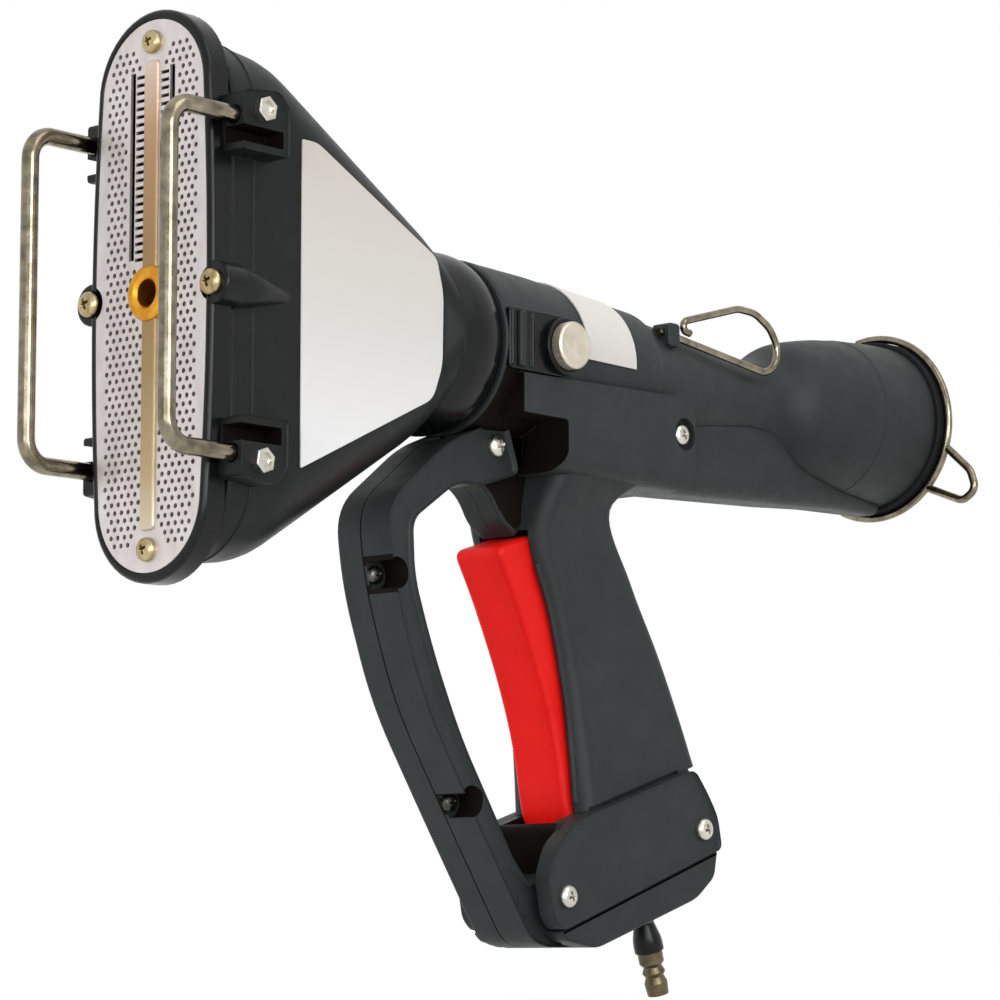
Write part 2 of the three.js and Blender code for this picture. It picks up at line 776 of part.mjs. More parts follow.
function makeNamePlate() {
  const [front, back] = [-6, 25];
  const radiusAt = (x) => (x < 10 ? 29.8 + (10 - x) * 0.08 : 29.8 - (x - 10) * (2.6 / 33));
  const ring = turned([front, 10, back].map((x) => [x, radiusAt(x) + seatGap])
    .concat([back, 10, front].map((x) => [x, radiusAt(x) + 0.7])));
  const wedge = prism(new THREE.Shape([
    new THREE.Vector2(0, 0),
    new THREE.Vector2(-60, -3.5),
    new THREE.Vector2(-60, 60),
    new THREE.Vector2(6, 60),
  ]), front - 1, back + 1, 'x');
  return ring.intersect(wedge).subtract(bar([lockX, -60, lockZ], [lockX, -10, lockZ], 11.2, 20));
}

function makeBarrel() {
  const tube = turned([
    [housingEndX - 12, 20],
    [housingEndX - 12, 23.55],
    [housingEndX + 0.1, 23.55],
    [housingEndX + 0.1, 25.2],
    [barrelEndX - 5, barrelTip.outer],
    [barrelEndX - 5, barrelTip.seat],
    [barrelEndX, barrelTip.seat],
    [barrelEndX, barrelTip.inner],
  ]);
  const [bracketFront, bracketBack] = [52, 59];
  const bracket = block([bracketFront, -23.4, 12], [bracketBack, -15, 21.4])
    .subtract(bar([bracketFront - 1, 0, 0], [bracketBack + 1, 0, 0], 22, 24));
  const bore = bar(onLoopHinge(48), onLoopHinge(64), loopWireRadius + runningFit, 16);
  return tube.add(bracket).subtract(bore);
}

// A point of the line that the wire loop swings on
function onLoopHinge(x) {
  return [x, loopHinge.y, loopHinge.z + loopHinge.slope * (x - loopHinge.x)];
}

function makeBell() {
  const seat = barrelTip.seat + seatGap;
  const mouthRadius = 31;
  const shell = turned([
    [barrelEndX - 5, seat],
    ...bellProfile,
    [bellEndX, mouthRadius],
    [barrelEndX + 48, 29.6],
    [barrelEndX + 36, 27.4],
    [barrelEndX + 22, 22.6],
    [barrelEndX + 11, seat],
  ]);
  return shell.subtract(bar([injectorX, 0, -40], [injectorX, 0, -10], 3.2, 16));
}

// The fairing under the barrel that hides the gas pipe
function makeFairing() {
  const outer = loft(
    roundedRing(saddleBackX - 13, -44.4, -8, 15, 8),
    roundedRing(injectorX + 4, -40.8, -8, 13.5, 8),
    roundedRing(injectorX + 33, -39.2, -14, 11.5, 7),
    roundedRing(fairingEndX, -38.6, -20, 7.5, 4),
  );
  const inner = loft(
    roundedRing(saddleBackX - 8, -41.8, -5, 12.5, 6),
    roundedRing(injectorX + 6, -38.2, -5, 10.8, 6),
  );
  const bellRoom = turned([
    [barrelEndX - 5.2, 0],
    ...bellProfile.map(([x, radius], i) => [i === 0 ? x - 0.2 : x, radius + seatGap]),
    ...capProfile.map(([x, radius]) => [x, radius + seatGap]),
    [capEndX, 0],
  ]);
  return outer
    .subtract(inner)
    .subtract(bodyRoom(seatGap))
    .subtract(bellRoom)
    .subtract(gripForm(-seatGap));
}

// A ring across the X axis: a box with rounded corners, from a lowest to a highest place
function roundedRing(x, low, high, halfWidth, radius) {
  const points = [];
  for (const [cornerY, cornerZ, start] of [
    [halfWidth - radius, high - radius, 0],
    [radius - halfWidth, high - radius, 1],
    [radius - halfWidth, low + radius, 2],
    [halfWidth - radius, low + radius, 3],
  ]) {
    for (let step = 0; step <= 3; step += 1) {
      const angle = (Math.PI / 2) * (start + step / 3);
      const [y, z] = [cornerY + radius * Math.cos(angle), cornerZ + radius * Math.sin(angle)];
      points.push(new THREE.Vector3(x, y, z));
    }
  }
  return points;
}

// The wire clip round the intake rim, with a hanging eye on the near side
function makeWireClip() {
  const wire = 1.7;
  const x = capEndX - 4;
  const radius = capRadius + 2 + wire + seatGap;
  const steps = 18;
  const [start, sweep] = [THREE.MathUtils.degToRad(78), THREE.MathUtils.degToRad(218)];
  const hoop = Array.from({ length: steps + 1 }, (_, i) => {
    const angle = start + (sweep * i) / steps;
    return {
      point: new THREE.Vector3(x, radius * Math.cos(angle), radius * Math.sin(angle)),
      heading: new THREE.Vector3(0, -Math.sin(angle), Math.cos(angle)),
    };
  });
  const eyeAngle = THREE.MathUtils.degToRad(213);
  const outward = new THREE.Vector3(0, Math.cos(eyeAngle), Math.sin(eyeAngle));
  const along = new THREE.Vector3(0, -Math.sin(eyeAngle), Math.cos(eyeAngle));
  const spot = (out, side) => new THREE.Vector3(x, 0, 0)
    .addScaledVector(outward, radius + out)
    .addScaledVector(along, side)
    .toArray();
  const corners = [spot(0, -10.5), spot(15, -8), spot(22, -2.5), spot(18.5, 4.8), spot(0, 8.5)];
  const eye = bentWire(corners, 3, wire, { bendSteps: 2, sides: 6 });
  return wireAlong(hoop, wire, 6).add(eye);
}

function makeHangLoop() {
  const { y } = loopHinge;
  return bentWire([
    onLoopHinge(49.5),
    onLoopHinge(117.5),
    [124.5, y, 13.5],
    [125.6, y, 21.5],
    [120.5, y, 28.5],
    [111, y, 33.2],
    [100, y, 33.6],
    [67, y, 24.3],
    [60.8, y, 20.4],
    [69, y, 19.4],
  ], 2.2, loopWireRadius, { bendSteps: 2, sides: 7 });
}

function makeBody() {
  piece('body_housing', makeHousing(), charcoal);
  piece('swivel_bush', turned([
    [housingFrontX + 0.1, sleeveRadius + runningFit],
    [housingFrontX + 0.1, 30],
    [-30.1, 30],
    [-30.1, sleeveRadius + runningFit],
  ]), bronze);
  piece('lock_socket', makeLockSocket(), glossBlack);
  place(piece('lock_knob', makeLockKnob(), zinc), [lockX, -35.8, lockZ], [0, -1, 0]);
  place(piece('lock_spring', coil(3.9, 0.4, 3.9, 3), spring), [lockX, -29.75, lockZ], [0, -1, 0]);
  piece('name_plate', makeNamePlate(), plateWhite);
  piece('rear_barrel', makeBarrel(), charcoal);
  piece('rear_bell', makeBell(), charcoal);
  piece('rear_cap', turned([
    [bellEndX + 0.05, 31],
    ...capProfile,
    [capEndX, capRadius - 2.8],
    [capEndX - 18, capRadius - 2.8],
  ]), charcoal);
  piece('intake_rim', turned([
    [capEndX - 8.5, capRadius + seatGap],
    [capEndX - 8.5, capRadius + 2],
    [capEndX + 0.5, capRadius + 2],
    [capEndX + 1.5, capRadius + 1],
    [capEndX + 1.5, capRadius - 2],
    [capEndX + 0.1, capRadius - 2],
    [capEndX + 0.1, capRadius + seatGap],
  ]), rubber);
  piece('rear_wire_clip', makeWireClip(), chrome);
  piece('hang_loop', makeHangLoop(), chrome);
  piece('lower_fairing', makeFairing(), charcoal);
  piece('gas_injector', turned([
    [barrelEndX + 2, 1.2],
    [barrelEndX + 2, 2.4],
    [barrelEndX + 8, 4.5],
    [barrelEndX + 14, 6],
    [injectorX + 7, 6],
    [injectorX + 7, 1.2],
  ], 20).subtract(bar([injectorX, 0, -10], [injectorX, 0, -3], 3.1, 12)), brass);
  piece('gas_pipe_main', makeGasPipe(), copper);
  piece('ignition_lead', bentWire([
    rakedPoint(4, 0, igniterUp + 6.9),
    rakedPoint(2, 4, -63),
    [14, 4, -38.5],
    [leadDropX, 0, -38.5],
    [leadDropX, 0, -burnerTubeRadius - 0.4],
  ], 4, 1.5, { bendSteps: 2, sides: 8 }), leadRed);
}

function makeGasPipe() {
  return bentWire([
    rakedPoint(-2, -5, valveTop + 0.05),
    rakedPoint(-2, -5, -114),
    rakedPoint(-2, -10.4, -101),
    rakedPoint(-2, -10.4, -73),
    [12, -8, -50],
    [35, -1, pipeRunZ],
    [injectorX, 0, pipeRunZ],
    [injectorX, 0, -3.1],
  ], 5.3, pipeRadius, { bendSteps: 2 });
}

// Grip: two shells that carry the saddle under the body, the web at the front and the handle
function rakedRing(up, front, back, halfWidth, radius) {
  return roundedRing(0, front, back, halfWidth, radius).map(({ y, z }) => {
    return new THREE.Vector3(...rakedPoint(z, y, up));
  });
}

function levelRing(z, front, back, halfWidth, radius) {
  return roundedRing(0, front, back, halfWidth, radius).map((point) => new THREE.Vector3(point.z, point.y, z));
}

function saddleRing(x, top, halfWidth, inset) {
  const low = saddleBottomZ + inset;
  return roundedRing(x, low, top + 20, halfWidth - inset, 7).map((point) => {
    return new THREE.Vector3(point.x, point.y, Math.min(point.z, top));
  });
}

function gripForm(inset) {
  const wide = { front: 33.6, back: 30.5 };
  const grow = (up, front, back, halfWidth, radius) => rakedRing(
    up,
    front + inset,
    back - inset,
    halfWidth - inset,
    Math.max(radius - inset, 2),
  );
  const under = levelRing(saddleBottomZ + 4, -16 + inset, 40 - inset, wide.back - 2 - inset, 8);
  const neck = grow(gripTop, -39, 6.5, 19, 8);
  const upper = grow(-90, -37, 11.2, 18, 8);
  const waist = grow(-120, -38.3, 18.4, 18, 8);
  const lower = grow(-145, -42, 21.8, 19, 8);
  const foot = grow(gripBottom - (inset > 0 ? 1 : 0), -46, 23.6, 20, 8);
  const [front, back, low] = [saddleFrontX + inset, saddleBackX - inset, saddleBottomZ + inset];
  const saddle = loft(
    saddleRing(front, saddleTop.front, wide.front, inset),
    saddleRing(back, saddleTop.back, wide.back, inset),
  );
  const sideView = prism(outline([
    [front - 1, 0],
    [front - 1, low - 1],
    [back, low - 1, 12],
    [back, 0],
  ]), -40, 40, 'y');
  return saddle.intersect(sideView).add(loft(under, neck, upper, waist, lower, foot));
}

function makeWeb(halfWidth) {
  return prism(outline([
    [-47, -30],
    [-14, -30],
    [-14, -60],
    [-22, -70],
    [-30, -64, 4],
    [-37, -53, 6],
    [-47, -49, 5],
  ]), -halfWidth, halfWidth, 'y');
}

function makeGripShells() {
  const pocketFloor = webHalfWidth;
  const pockets = [-1, 1].map((side) => {
    const [low, high] = side < 0 ? [-40, -pocketFloor] : [pocketFloor, 40];
    return prism(outline([
      [-60, -26.5],
      [-19, -26.5, 2],
      [-19, -40, 3],
      [-34, -62],
      [-60, -62],
    ]), low, high, 'y');
  });
  const triggerRoom = rakedBlock(
    [-62, -triggerHalfWidth - 0.5, gripBottom - 1],
    [-30, triggerHalfWidth + 0.5, -58.5],
  );
  const springWall = rakedBlock([-15, -17, springUp - 6], [-12, 17, springUp + 6]);
  const onScrew = (y) => [saddleScrew.x, y, saddleScrew.z];
  const recess = bar(onScrew(-40), onScrew(-27.5), 6.2, 20);
  const boss = bar(onScrew(-29), onScrew(-10), 5, 16);
  const shankHole = bar(onScrew(-29), onScrew(-10), 2 + seatGap, 16);
  const [lugX, lugZ] = raked(lug.across, lug.up);
  const whole = gripForm(0)
    .subtract(gripForm(shellWall))
    .subtract(joined(...pockets))
    .add(makeWeb(webHalfWidth))
    .add(springWall)
    .add(boss)
    .subtract(triggerRoom)
    .subtract(recess)
    .subtract(shankHole)
    .subtract(bodyRoom(seatGap))
    .subtract(bar([lugX, -20, lugZ], [lugX, 20, lugZ], 2 + seatGap, 16))
    .subtract(bar([saddleBackX - 6, 0, pipeRunZ], [saddleBackX + 1, 0, pipeRunZ], pipeRadius + 2));
  return {
    near: whole.intersect(everythingBeside(-1)),
    far: whole.intersect(everythingBeside(1)),
  };
}

// All the room on one side of the plane that the near and the far halves meet in
function everythingBeside(side) {
  return block([-farAway, 0, -farAway], [farAway, side * farAway, farAway]);
}

function makeTrigger() {
  const front = [
    [-56.5, -60, 5],
    [-52, -80, 8],
    [-47.5, -110, 14],
    [-46.3, -138, 12],
    [-49.5, -164, 6],
    [-47.5, -181, 5],
    [-35.5, -181, 5],
    [-34, -165, 6],
    [-31, -138, 10],
    [-31, -60, 5],
  ];
  const room = [
    [-53, -63],
    [-49, -80, 6],
    [-44.5, -110, 12],
    [-43.3, -138, 10],
    [-45, -160, 4],
    [-20, -160],
    [-20, -63],
  ];
  const whole = rakedPrism(outline(front), triggerHalfWidth, { ease: 2.4 });
  const cavity = rakedPrism(outline(room), triggerHalfWidth - 2.6);
  const pushers = [
    rakedBlock([-46, -3, valveUp - 3], [-27.3, 3, valveUp + 3]),
    rakedBlock([-50, -3, igniterUp - 3], [-30.3, 3, igniterUp + 3]),
    rakedBlock([-48, -6, springUp - 6], [-30.2, 6, springUp + 6]),
  ];
  const pin = bar(
    rakedPoint(triggerPivot.across, -20, triggerPivot.up),
    rakedPoint(triggerPivot.across, 20, triggerPivot.up),
    2.5 + runningFit,
    20,
  );
  return whole.subtract(cavity).add(joined(...pushers)).subtract(pin);
}

// A prism across the tool whose outline is measured across and up the raked grip
function rakedPrism(shape, halfWidth, easing = {}) {
  return prism(shape, -halfWidth, halfWidth, 'raked', easing);
}

function makeFingerGuard() {
  const loop = rakedPrism(outline([
    [-40, -14, 5],
    [-73, -16.5, 8],
    [-112, -31, 12],
    [-117, -60, 14],
    [-115, -104, 18],
    [-102.8, -146, 18],
    [-89.5, -190, 6],
    [-85, -204, 6],
    [-75, -209.5, 3],
    [guardFootBack, -209.5],
    [guardFootBack, -184],
    [-80, -184],
    [-86, -172, 4],
    [-92, -150, 13],
    [-100, -122, 13],
    [-105, -88, 14],
    [-106.3, -60, 8],
    [-101, -40, 5],
    [-74, -32, 6],
    [-60, -36, 3],
    [-39, -36, 4],
  ]), guardLoopHalfWidth, { ease: 1.8 });
  const forks = rakedBlock([-61.5, -webHalfWidth - seatGap, -60], [-30, webHalfWidth + seatGap, -5]);
  const cuts = [forks, bodyRoom(0.4)];
  const through = ({ across, up }, radius, from, to) => {
    return bar(rakedPoint(across, from, up), rakedPoint(across, to, up), radius, 16);
  };
  cuts.push(through(lug, 2 + seatGap, -20, 20));
  cuts.push(through(baseScrews.front, 2 + seatGap, -20, 20));
  for (const place of Object.values(guardScrews)) {
    cuts.push(through(place, 1.5 + seatGap, -20, 9));
    cuts.push(through(place, guardPocketRadius, -20, -guardScrewSeat));
  }
  const whole = loop.subtract(joined(...cuts));
  return {
    near: whole.intersect(everythingBeside(-1)),
    far: whole.intersect(everythingBeside(1)),
  };
}

function makeBaseBlock() {
  const halfWidth = baseHalfWidth - coverThickness - 0.05;
  const core = rakedPrism(outline([
    [guardFootBack + 0.2, gripBottom - 0.1, 3],
    [20, gripBottom - 0.1, 2],
    [22, -178, 3],
    [22.5, -190, 3],
    [21, -204],
    [guardFootBack + 0.2, -207],
  ]), halfWidth);
  const keel = rakedPrism(outline([
    [-77, coverBottom.front - 0.5],
    [-74.5, -207, 2],
    [-59, -214.8, 4],
    [3.5, -214.3, 4],
    [16.5, -209.5, 3],
    [21.5, coverBottom.back - 0.5],
  ]), baseHalfWidth - 0.5, { ease: 1.2 });
  const guardRoom = rakedBlock(
    [-90, -guardLoopHalfWidth - seatGap, -220],
    [guardFootBack + 0.2, guardLoopHalfWidth + seatGap, -190],
  );
  const triggerRoom = rakedBlock(
    [-59, -triggerHalfWidth - 0.5, -186],
    [-27, triggerHalfWidth + 0.5, gripBottom + 1],
  );
  const line = ({ across, up }, radius, reach) => bar(
    rakedPoint(across, -reach, up),
    rakedPoint(across, reach, up),
    radius,
    16,
  );
  return core
    .add(keel)
    .subtract(guardRoom)
    .subtract(triggerRoom)
    .subtract(line(triggerPivot, 2.5 + runningFit, 20))
    .subtract(line(baseScrews.rear, 2 + seatGap, 20))
    .subtract(rakedBlock([-12.6, -9.6, -208.3], [8.6, 9.6, gripBottom + 1]))
    .subtract(bar(rakedPoint(inletAcross, 0, -220), rakedPoint(inletAcross, 0, -205), 5.5, 16));
}

function makeBaseCover(side) {
  const low = side < 0 ? -baseHalfWidth : baseHalfWidth - coverThickness;
  const high = low + coverThickness;
  const plateShape = outline([
    [-57.5, gripBottom, 4],
    [-71.5, -171.5, 5],
    [-79.5, -182, 4],
    [-81, -196, 3],
    [-77.5, coverBottom.front, 3],
    [22, coverBottom.back, 3],
    [23.4, -187, 4],
    [20.3, -177, 4],
    [15.5, gripBottom, 4],
  ]);
  const holes = Object.values(baseScrews).map(({ across, up }) => bar(
    rakedPoint(across, low - 1, up),
    rakedPoint(across, high + 1, up),
    2 + seatGap,
    16,
  ));
  return prism(plateShape, low, high, 'raked', { ease: 1.2 }).subtract(joined(...holes));
}

function makeValve() {
  const body = rakedPrism(outline([
    [-12, -208, 1],
    [8, -208, 1],
    [8, valveTop - 6, 3],
    [3, valveTop, 1],
    [-7, valveTop, 1],
    [-12, valveTop - 6, 3],
  ]), 9.4, { ease: 0.8, curveSteps: 2 });
  const guide = bar(rakedPoint(-18, 0, valveUp), rakedPoint(-10, 0, valveUp), 4, 16);
  return body.add(guide)
    .subtract(bar(rakedPoint(-20, 0, valveUp), rakedPoint(-3, 0, valveUp), 2 + runningFit, 16));
}

function makeIgniter() {
  return bar(rakedPoint(-14, 0, igniterUp), rakedPoint(6.5, 0, igniterUp), 6.6, 20)
    .subtract(bar(rakedPoint(-15, 0, igniterUp), rakedPoint(-3.5, 0, igniterUp), 3.5 + runningFit, 20));
}

function makeGrip() {
  const shells = makeGripShells();
  const guards = makeFingerGuard();
  piece('grip_shell_near', shells.near, charcoal);
  piece('grip_shell_far', shells.far, charcoal);
  piece('finger_guard_near', guards.near, charcoal);
  piece('finger_guard_far', guards.far, charcoal);
  piece('trigger', makeTrigger(), triggerRed);
  piece('trigger_pin', bar(
    rakedPoint(triggerPivot.across, -16.9, triggerPivot.up),
    rakedPoint(triggerPivot.across, 16.9, triggerPivot.up),
    2.5,
    20,
  ), zinc);
  const backward = rakedPoint(1, 0, 0);
  const triggerSpring = piece('trigger_spring', coil(4.4, 0.6, 13.4, 6), spring);
  place(triggerSpring, rakedPoint(-29.2, 0, springUp), backward);
  piece('gas_valve', makeValve(), brass);
  piece('valve_stem', bar(rakedPoint(-27, 0, valveUp), rakedPoint(-8, 0, valveUp), 2, 16), zinc);
  piece('piezo_igniter', makeIgniter(), glossBlack);
  piece('igniter_plunger', bar(rakedPoint(-30, 0, igniterUp), rakedPoint(-12, 0, igniterUp), 3.5, 20), ceramic);
  const toNear = [0, -1, 0];
  const saddle = piece('saddle_screw', panScrew(4.4, 2, 11), zinc);
  place(saddle, [saddleScrew.x, -27.5, saddleScrew.z], toNear);
  const lugScrew = piece('lug_screw', panScrew(4.4, 2, 24), zinc);
  place(lugScrew, rakedPoint(lug.across, -guardLoopHalfWidth, lug.up), toNear);
  for (const [name, { across, up }] of Object.entries(guardScrews)) {
    const screw = piece(`guard_screw_${name}`, panScrew(3.4, 1.5, 8), zinc);
    place(screw, rakedPoint(across, -guardScrewSeat, up), toNear);
  }
}

function makeBase() {
  piece('base_block', makeBaseBlock(), charcoal);
  piece('base_cover_near', makeBaseCover(-1), charcoal);
  piece('base_cover_far', makeBaseCover(1), charcoal);
  for (const [name, { across, up }] of Object.entries(baseScrews)) {
    const screw = piece(`base_screw_${name}`, panScrew(4.4, 2, 42), zinc);
    place(screw, rakedPoint(across, -baseHalfWidth, up), [0, -1, 0]);
  }
  makeInlet();
}

// The gas inlet: a hexagonal neck, a washer, and a hose nipple that turns on its own spigot
function makeInlet() {
  const neckLength = 13;
  const washerEnd = 24.5;
  const spigotRadius = 3;
  const inlet = (name, geometry, material) => {
    place(piece(name, geometry, material), rakedPoint(inletAcross, 0, inletTop), rakedPoint(0, 0, -1));
  };
  const neck = solid(new THREE.CylinderGeometry(5.2, 5.2, neckLength, 6).translate(0, neckLength / 2, 0));
  const socket = bar([0, 4, 0], [0, neckLength + 1, 0], spigotRadius + runningFit, 16);
  inlet('inlet_nut', neck.subtract(socket), darkBrass);
  inlet('inlet_washer', new THREE.LatheGeometry([
    [spigotRadius + runningFit, neckLength + 0.05],
    [4, neckLength + 0.05],
    [5.8, neckLength + 7],
    [5.8, washerEnd],
    [spigotRadius + runningFit, washerEnd],
    [spigotRadius + runningFit, neckLength + 0.05],
  ].map(([radius, height]) => new THREE.Vector2(radius, height)), 16), glossBlack);
  inlet('inlet_nipple', turnedUp([
    [0, 5],
    [spigotRadius, 5],
    [spigotRadius, washerEnd + 0.1],
    [4.9, washerEnd + 0.1],
    [4.9, 29],
    [3.6, 30.5],
    [4.6, 33],
    [3.6, 34.5],
    [4.6, 37],
    [4.2, 42],
    [2, 42],
    [2, 30],
    [0, 30],
  ], 16), darkBrass);
}

makeHead();
makeBody();
makeGrip();
makeBase();

export default group;
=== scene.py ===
# A hand-held gas hot air tool with a wide flat burner head.
# Shapes are worked out in millimetres and become metres when a mesh is made.
# The flame leaves towards -X, +Z is up, and the near side that the photograph shows is -Y.
import json
import math

import bmesh
import bpy
from mathutils import Matrix, Vector
from mathutils.geometry import delaunay_2d_cdt


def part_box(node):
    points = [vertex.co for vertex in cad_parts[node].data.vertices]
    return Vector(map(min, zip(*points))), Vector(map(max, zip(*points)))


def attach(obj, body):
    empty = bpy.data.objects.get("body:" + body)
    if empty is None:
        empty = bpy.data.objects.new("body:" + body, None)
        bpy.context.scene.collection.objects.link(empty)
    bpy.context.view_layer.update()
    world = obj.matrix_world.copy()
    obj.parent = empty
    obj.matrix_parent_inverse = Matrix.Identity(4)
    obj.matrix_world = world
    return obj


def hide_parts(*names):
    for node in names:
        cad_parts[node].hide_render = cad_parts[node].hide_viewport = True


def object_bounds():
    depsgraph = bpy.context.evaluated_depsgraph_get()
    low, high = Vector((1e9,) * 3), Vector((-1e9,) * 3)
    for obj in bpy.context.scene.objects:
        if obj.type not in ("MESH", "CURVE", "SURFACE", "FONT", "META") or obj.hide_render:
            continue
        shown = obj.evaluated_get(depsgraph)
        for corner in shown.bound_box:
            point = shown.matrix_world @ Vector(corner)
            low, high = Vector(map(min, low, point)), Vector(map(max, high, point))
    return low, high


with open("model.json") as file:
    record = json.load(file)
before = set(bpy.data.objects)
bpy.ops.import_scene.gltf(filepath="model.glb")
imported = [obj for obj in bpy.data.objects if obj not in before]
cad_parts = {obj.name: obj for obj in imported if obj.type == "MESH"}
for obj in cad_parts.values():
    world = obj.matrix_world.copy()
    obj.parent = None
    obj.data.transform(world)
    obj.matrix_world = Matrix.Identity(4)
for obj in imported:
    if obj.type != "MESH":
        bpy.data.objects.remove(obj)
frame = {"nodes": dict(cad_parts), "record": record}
cad_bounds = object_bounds()

MM = 0.001
SIDES = (("near", -1), ("far", 1))
ENDS = (("upper", 1), ("lower", -1))
TOWARD_NEAR = (0, -1, 0)


def low(node):
    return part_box(node)[0] / MM


def high(node):
    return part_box(node)[1] / MM


# Places along the swivel axis
FACE_X = low("front_rim").x
RIM_BACK_X = high("front_rim").x
KNEE_X = FACE_X + 38
FLAT_END_X = FACE_X + 116
NECK_X = low("neck_collar").x
COLLAR_BACK_X = high("neck_collar").x
HOUSING_FRONT_X = COLLAR_BACK_X + 1
HOUSING_END_X = high("body_housing").x
BARREL_END_X = high("rear_barrel").x
BELL_END_X = high("rear_bell").x
CAP_END_X = high("rear_cap").x

# The burner head
HEAD_HALF_WIDTH = 29.5
HEAD_HALF_HEIGHT = 93
KNEE_HALF_HEIGHT = 89.5
FLAT_END_HALF_HEIGHT = 41.4
RIM = (100, 31, 28.5)
PLATE = (96.4, 28, 25.5)
MOUTH = (PLATE[0] - 12.4, 25, 22.5)
PLATE_FRONT_X = FACE_X + 0.4
PLATE_THICKNESS = 1.2
PLATE_SCREW_Z = PLATE[0] - 7.9
RIDGE_HALF_HEIGHT = PLATE[0] - 14.4
RING_RADIUS = 9.7
SIDE_SCREW_Y = 31
GUARD_HALF_HEIGHT = 58
GUARD_WIRE_RADIUS = 3.1
GUARD_Y = 35.5
GUARD_FRONT_X = FACE_X - 24
GUARD_LEG_END_X = RIM_BACK_X + 13
CLAMP_FRONT_X = FACE_X + 5.5
CLAMP_SCREW = (FACE_X + 14.6, 60.4)
CLAMP_FACE_Y = GUARD_Y + GUARD_WIRE_RADIUS + 1.4
CLAMP_CHANNEL = (48.2, 54.2)
CLAMP_CHANNEL_END_X = RIM_BACK_X + 14.7
COLLAR_RADIUS = 34.5
NECK_RADIUS = COLLAR_RADIUS - 1.5

# The body
SADDLE_TOP_FRONT = -11.8
SADDLE_TOP_BACK = -9.3
SADDLE_BOTTOM_Z = -46
SADDLE_FRONT_X = -45
SADDLE_BACK_X = 59
SADDLE_SCREW = (52.5, -24)
LOCK = (-23.5, 0.2)
INJECTOR_X = 138
FAIRING_END_X = 211
LOOP_HINGE = (54, -20, 17.4)
LOOP_SLOPE = -0.126
BARREL_TIP = 17.4
BARREL_SEAT = 16.2
CAP_RADIUS = 35
HOUSING_PROFILE = [
    (HOUSING_FRONT_X, 33), (HOUSING_FRONT_X + 1.5, 33.6), (-20, 32.2), (10, 29.8),
    (HOUSING_END_X - 2, 27.2), (HOUSING_END_X, 26.2),
]
BELL_PROFILE = [
    (BARREL_END_X - 5, BARREL_TIP), (BARREL_END_X + 4, 17.6), (BARREL_END_X + 11, 18.8),
    (BARREL_END_X + 17, 21.8), (BARREL_END_X + 22, 25.6), (BARREL_END_X + 27, 27.9),
    (BARREL_END_X + 36, 30), (BARREL_END_X + 48, 32.1), (BELL_END_X, 33.5),
]
CAP_PROFILE = [(BELL_END_X + 0.05, 33.7), (CAP_END_X - 18, CAP_RADIUS), (CAP_END_X, CAP_RADIUS)]

# The grip and the base, measured across and up the raked grip
GRIP_RAKE = math.radians(17.5)
GRIP_TOP = -60
GRIP_BOTTOM = -165.7
COVER_BOTTOM_FRONT = -202.3
COVER_BOTTOM_BACK = -199.6
BASE_HALF_WIDTH = 23
COVER_THICKNESS = 6
GUARD_LOOP_HALF_WIDTH = 13
WEB_HALF_WIDTH = 9
TRIGGER_HALF_WIDTH = 11.8
TRIGGER_ROOM_HALF_WIDTH = TRIGGER_HALF_WIDTH + 0.5
HOLLOW_TOP_Z = -26.5
GRIP_HOLLOW = [(-60, HOLLOW_TOP_Z), (-19, HOLLOW_TOP_Z, 2), (-19, -40, 3), (-34, -62), (-60, -62)]
LUG = (-47.2, -23.5)
BASE_SCREWS = {"front": (-70.8, -191), "rear": (14.2, -189.5)}
GUARD_SCREWS = {"upper": (-113, -57), "lower": (-99.6, -146)}
GUARD_SCREW_SEAT = 1.2
GUARD_POCKET_RADIUS = 5.8
GUARD_FOOT_BACK = -63.2
INLET_ACROSS = -5
INLET_TOP = -208.1
SEAM = 0.12
GUARD_LOOP = [
    (-40, -14, 5), (-73, -16.5, 8), (-112, -31, 12), (-117, -60, 14), (-115, -104, 18), (-102.8, -146, 18),
    (-89.5, -190, 6), (-85, -204, 6), (-75, -209.5, 3), (GUARD_FOOT_BACK, -209.5), (GUARD_FOOT_BACK, -184),
    (-80, -184), (-86, -172, 4), (-92, -150, 13), (-100, -122, 13), (-105, -88, 14), (-106.3, -60, 8),
    (-101, -40, 5), (-74, -32, 6), (-60, -36, 3), (-39, -36, 4),
]


def raked(across, y, up):
    """A point of the raked grip: across it towards the back, and up along it."""
    return Vector((
        across * math.cos(GRIP_RAKE) - up * math.sin(GRIP_RAKE),
        y,
        across * math.sin(GRIP_RAKE) + up * math.cos(GRIP_RAKE),
    ))


# Meshes
def shade(obj, sharp_angle):
    """Smooth shading that stays crisp at edges steeper than the given angle."""
    obj.data.polygons.foreach_set("use_smooth", [True] * len(obj.data.polygons))
    obj.data.set_sharp_from_angle(angle=math.radians(sharp_angle))
    weighted = obj.modifiers.new("weighted_normals", "WEIGHTED_NORMAL")
    weighted.keep_sharp = True


def add_object(name, data):
    obj = bpy.data.objects.new(name, data)
    bpy.context.scene.collection.objects.link(obj)
    return obj


def mesh_object(name, points, faces):
    weld_distance = 1e-6
    mesh = bpy.data.meshes.new(name)
    mesh.from_pydata([Vector(point) * MM for point in points], [], faces)
    clean = bmesh.new()
    clean.from_mesh(mesh)
    bmesh.ops.remove_doubles(clean, verts=clean.verts, dist=weld_distance)
    bmesh.ops.recalc_face_normals(clean, faces=clean.faces)
    clean.to_mesh(mesh)
    clean.free()
    return add_object(name, mesh)


def evaluated_mesh(obj):
    """The mesh that an object's curve or modifiers come to."""
    bpy.context.view_layer.update()
    graph = bpy.context.evaluated_depsgraph_get()
    return bpy.data.meshes.new_from_object(obj.evaluated_get(graph))


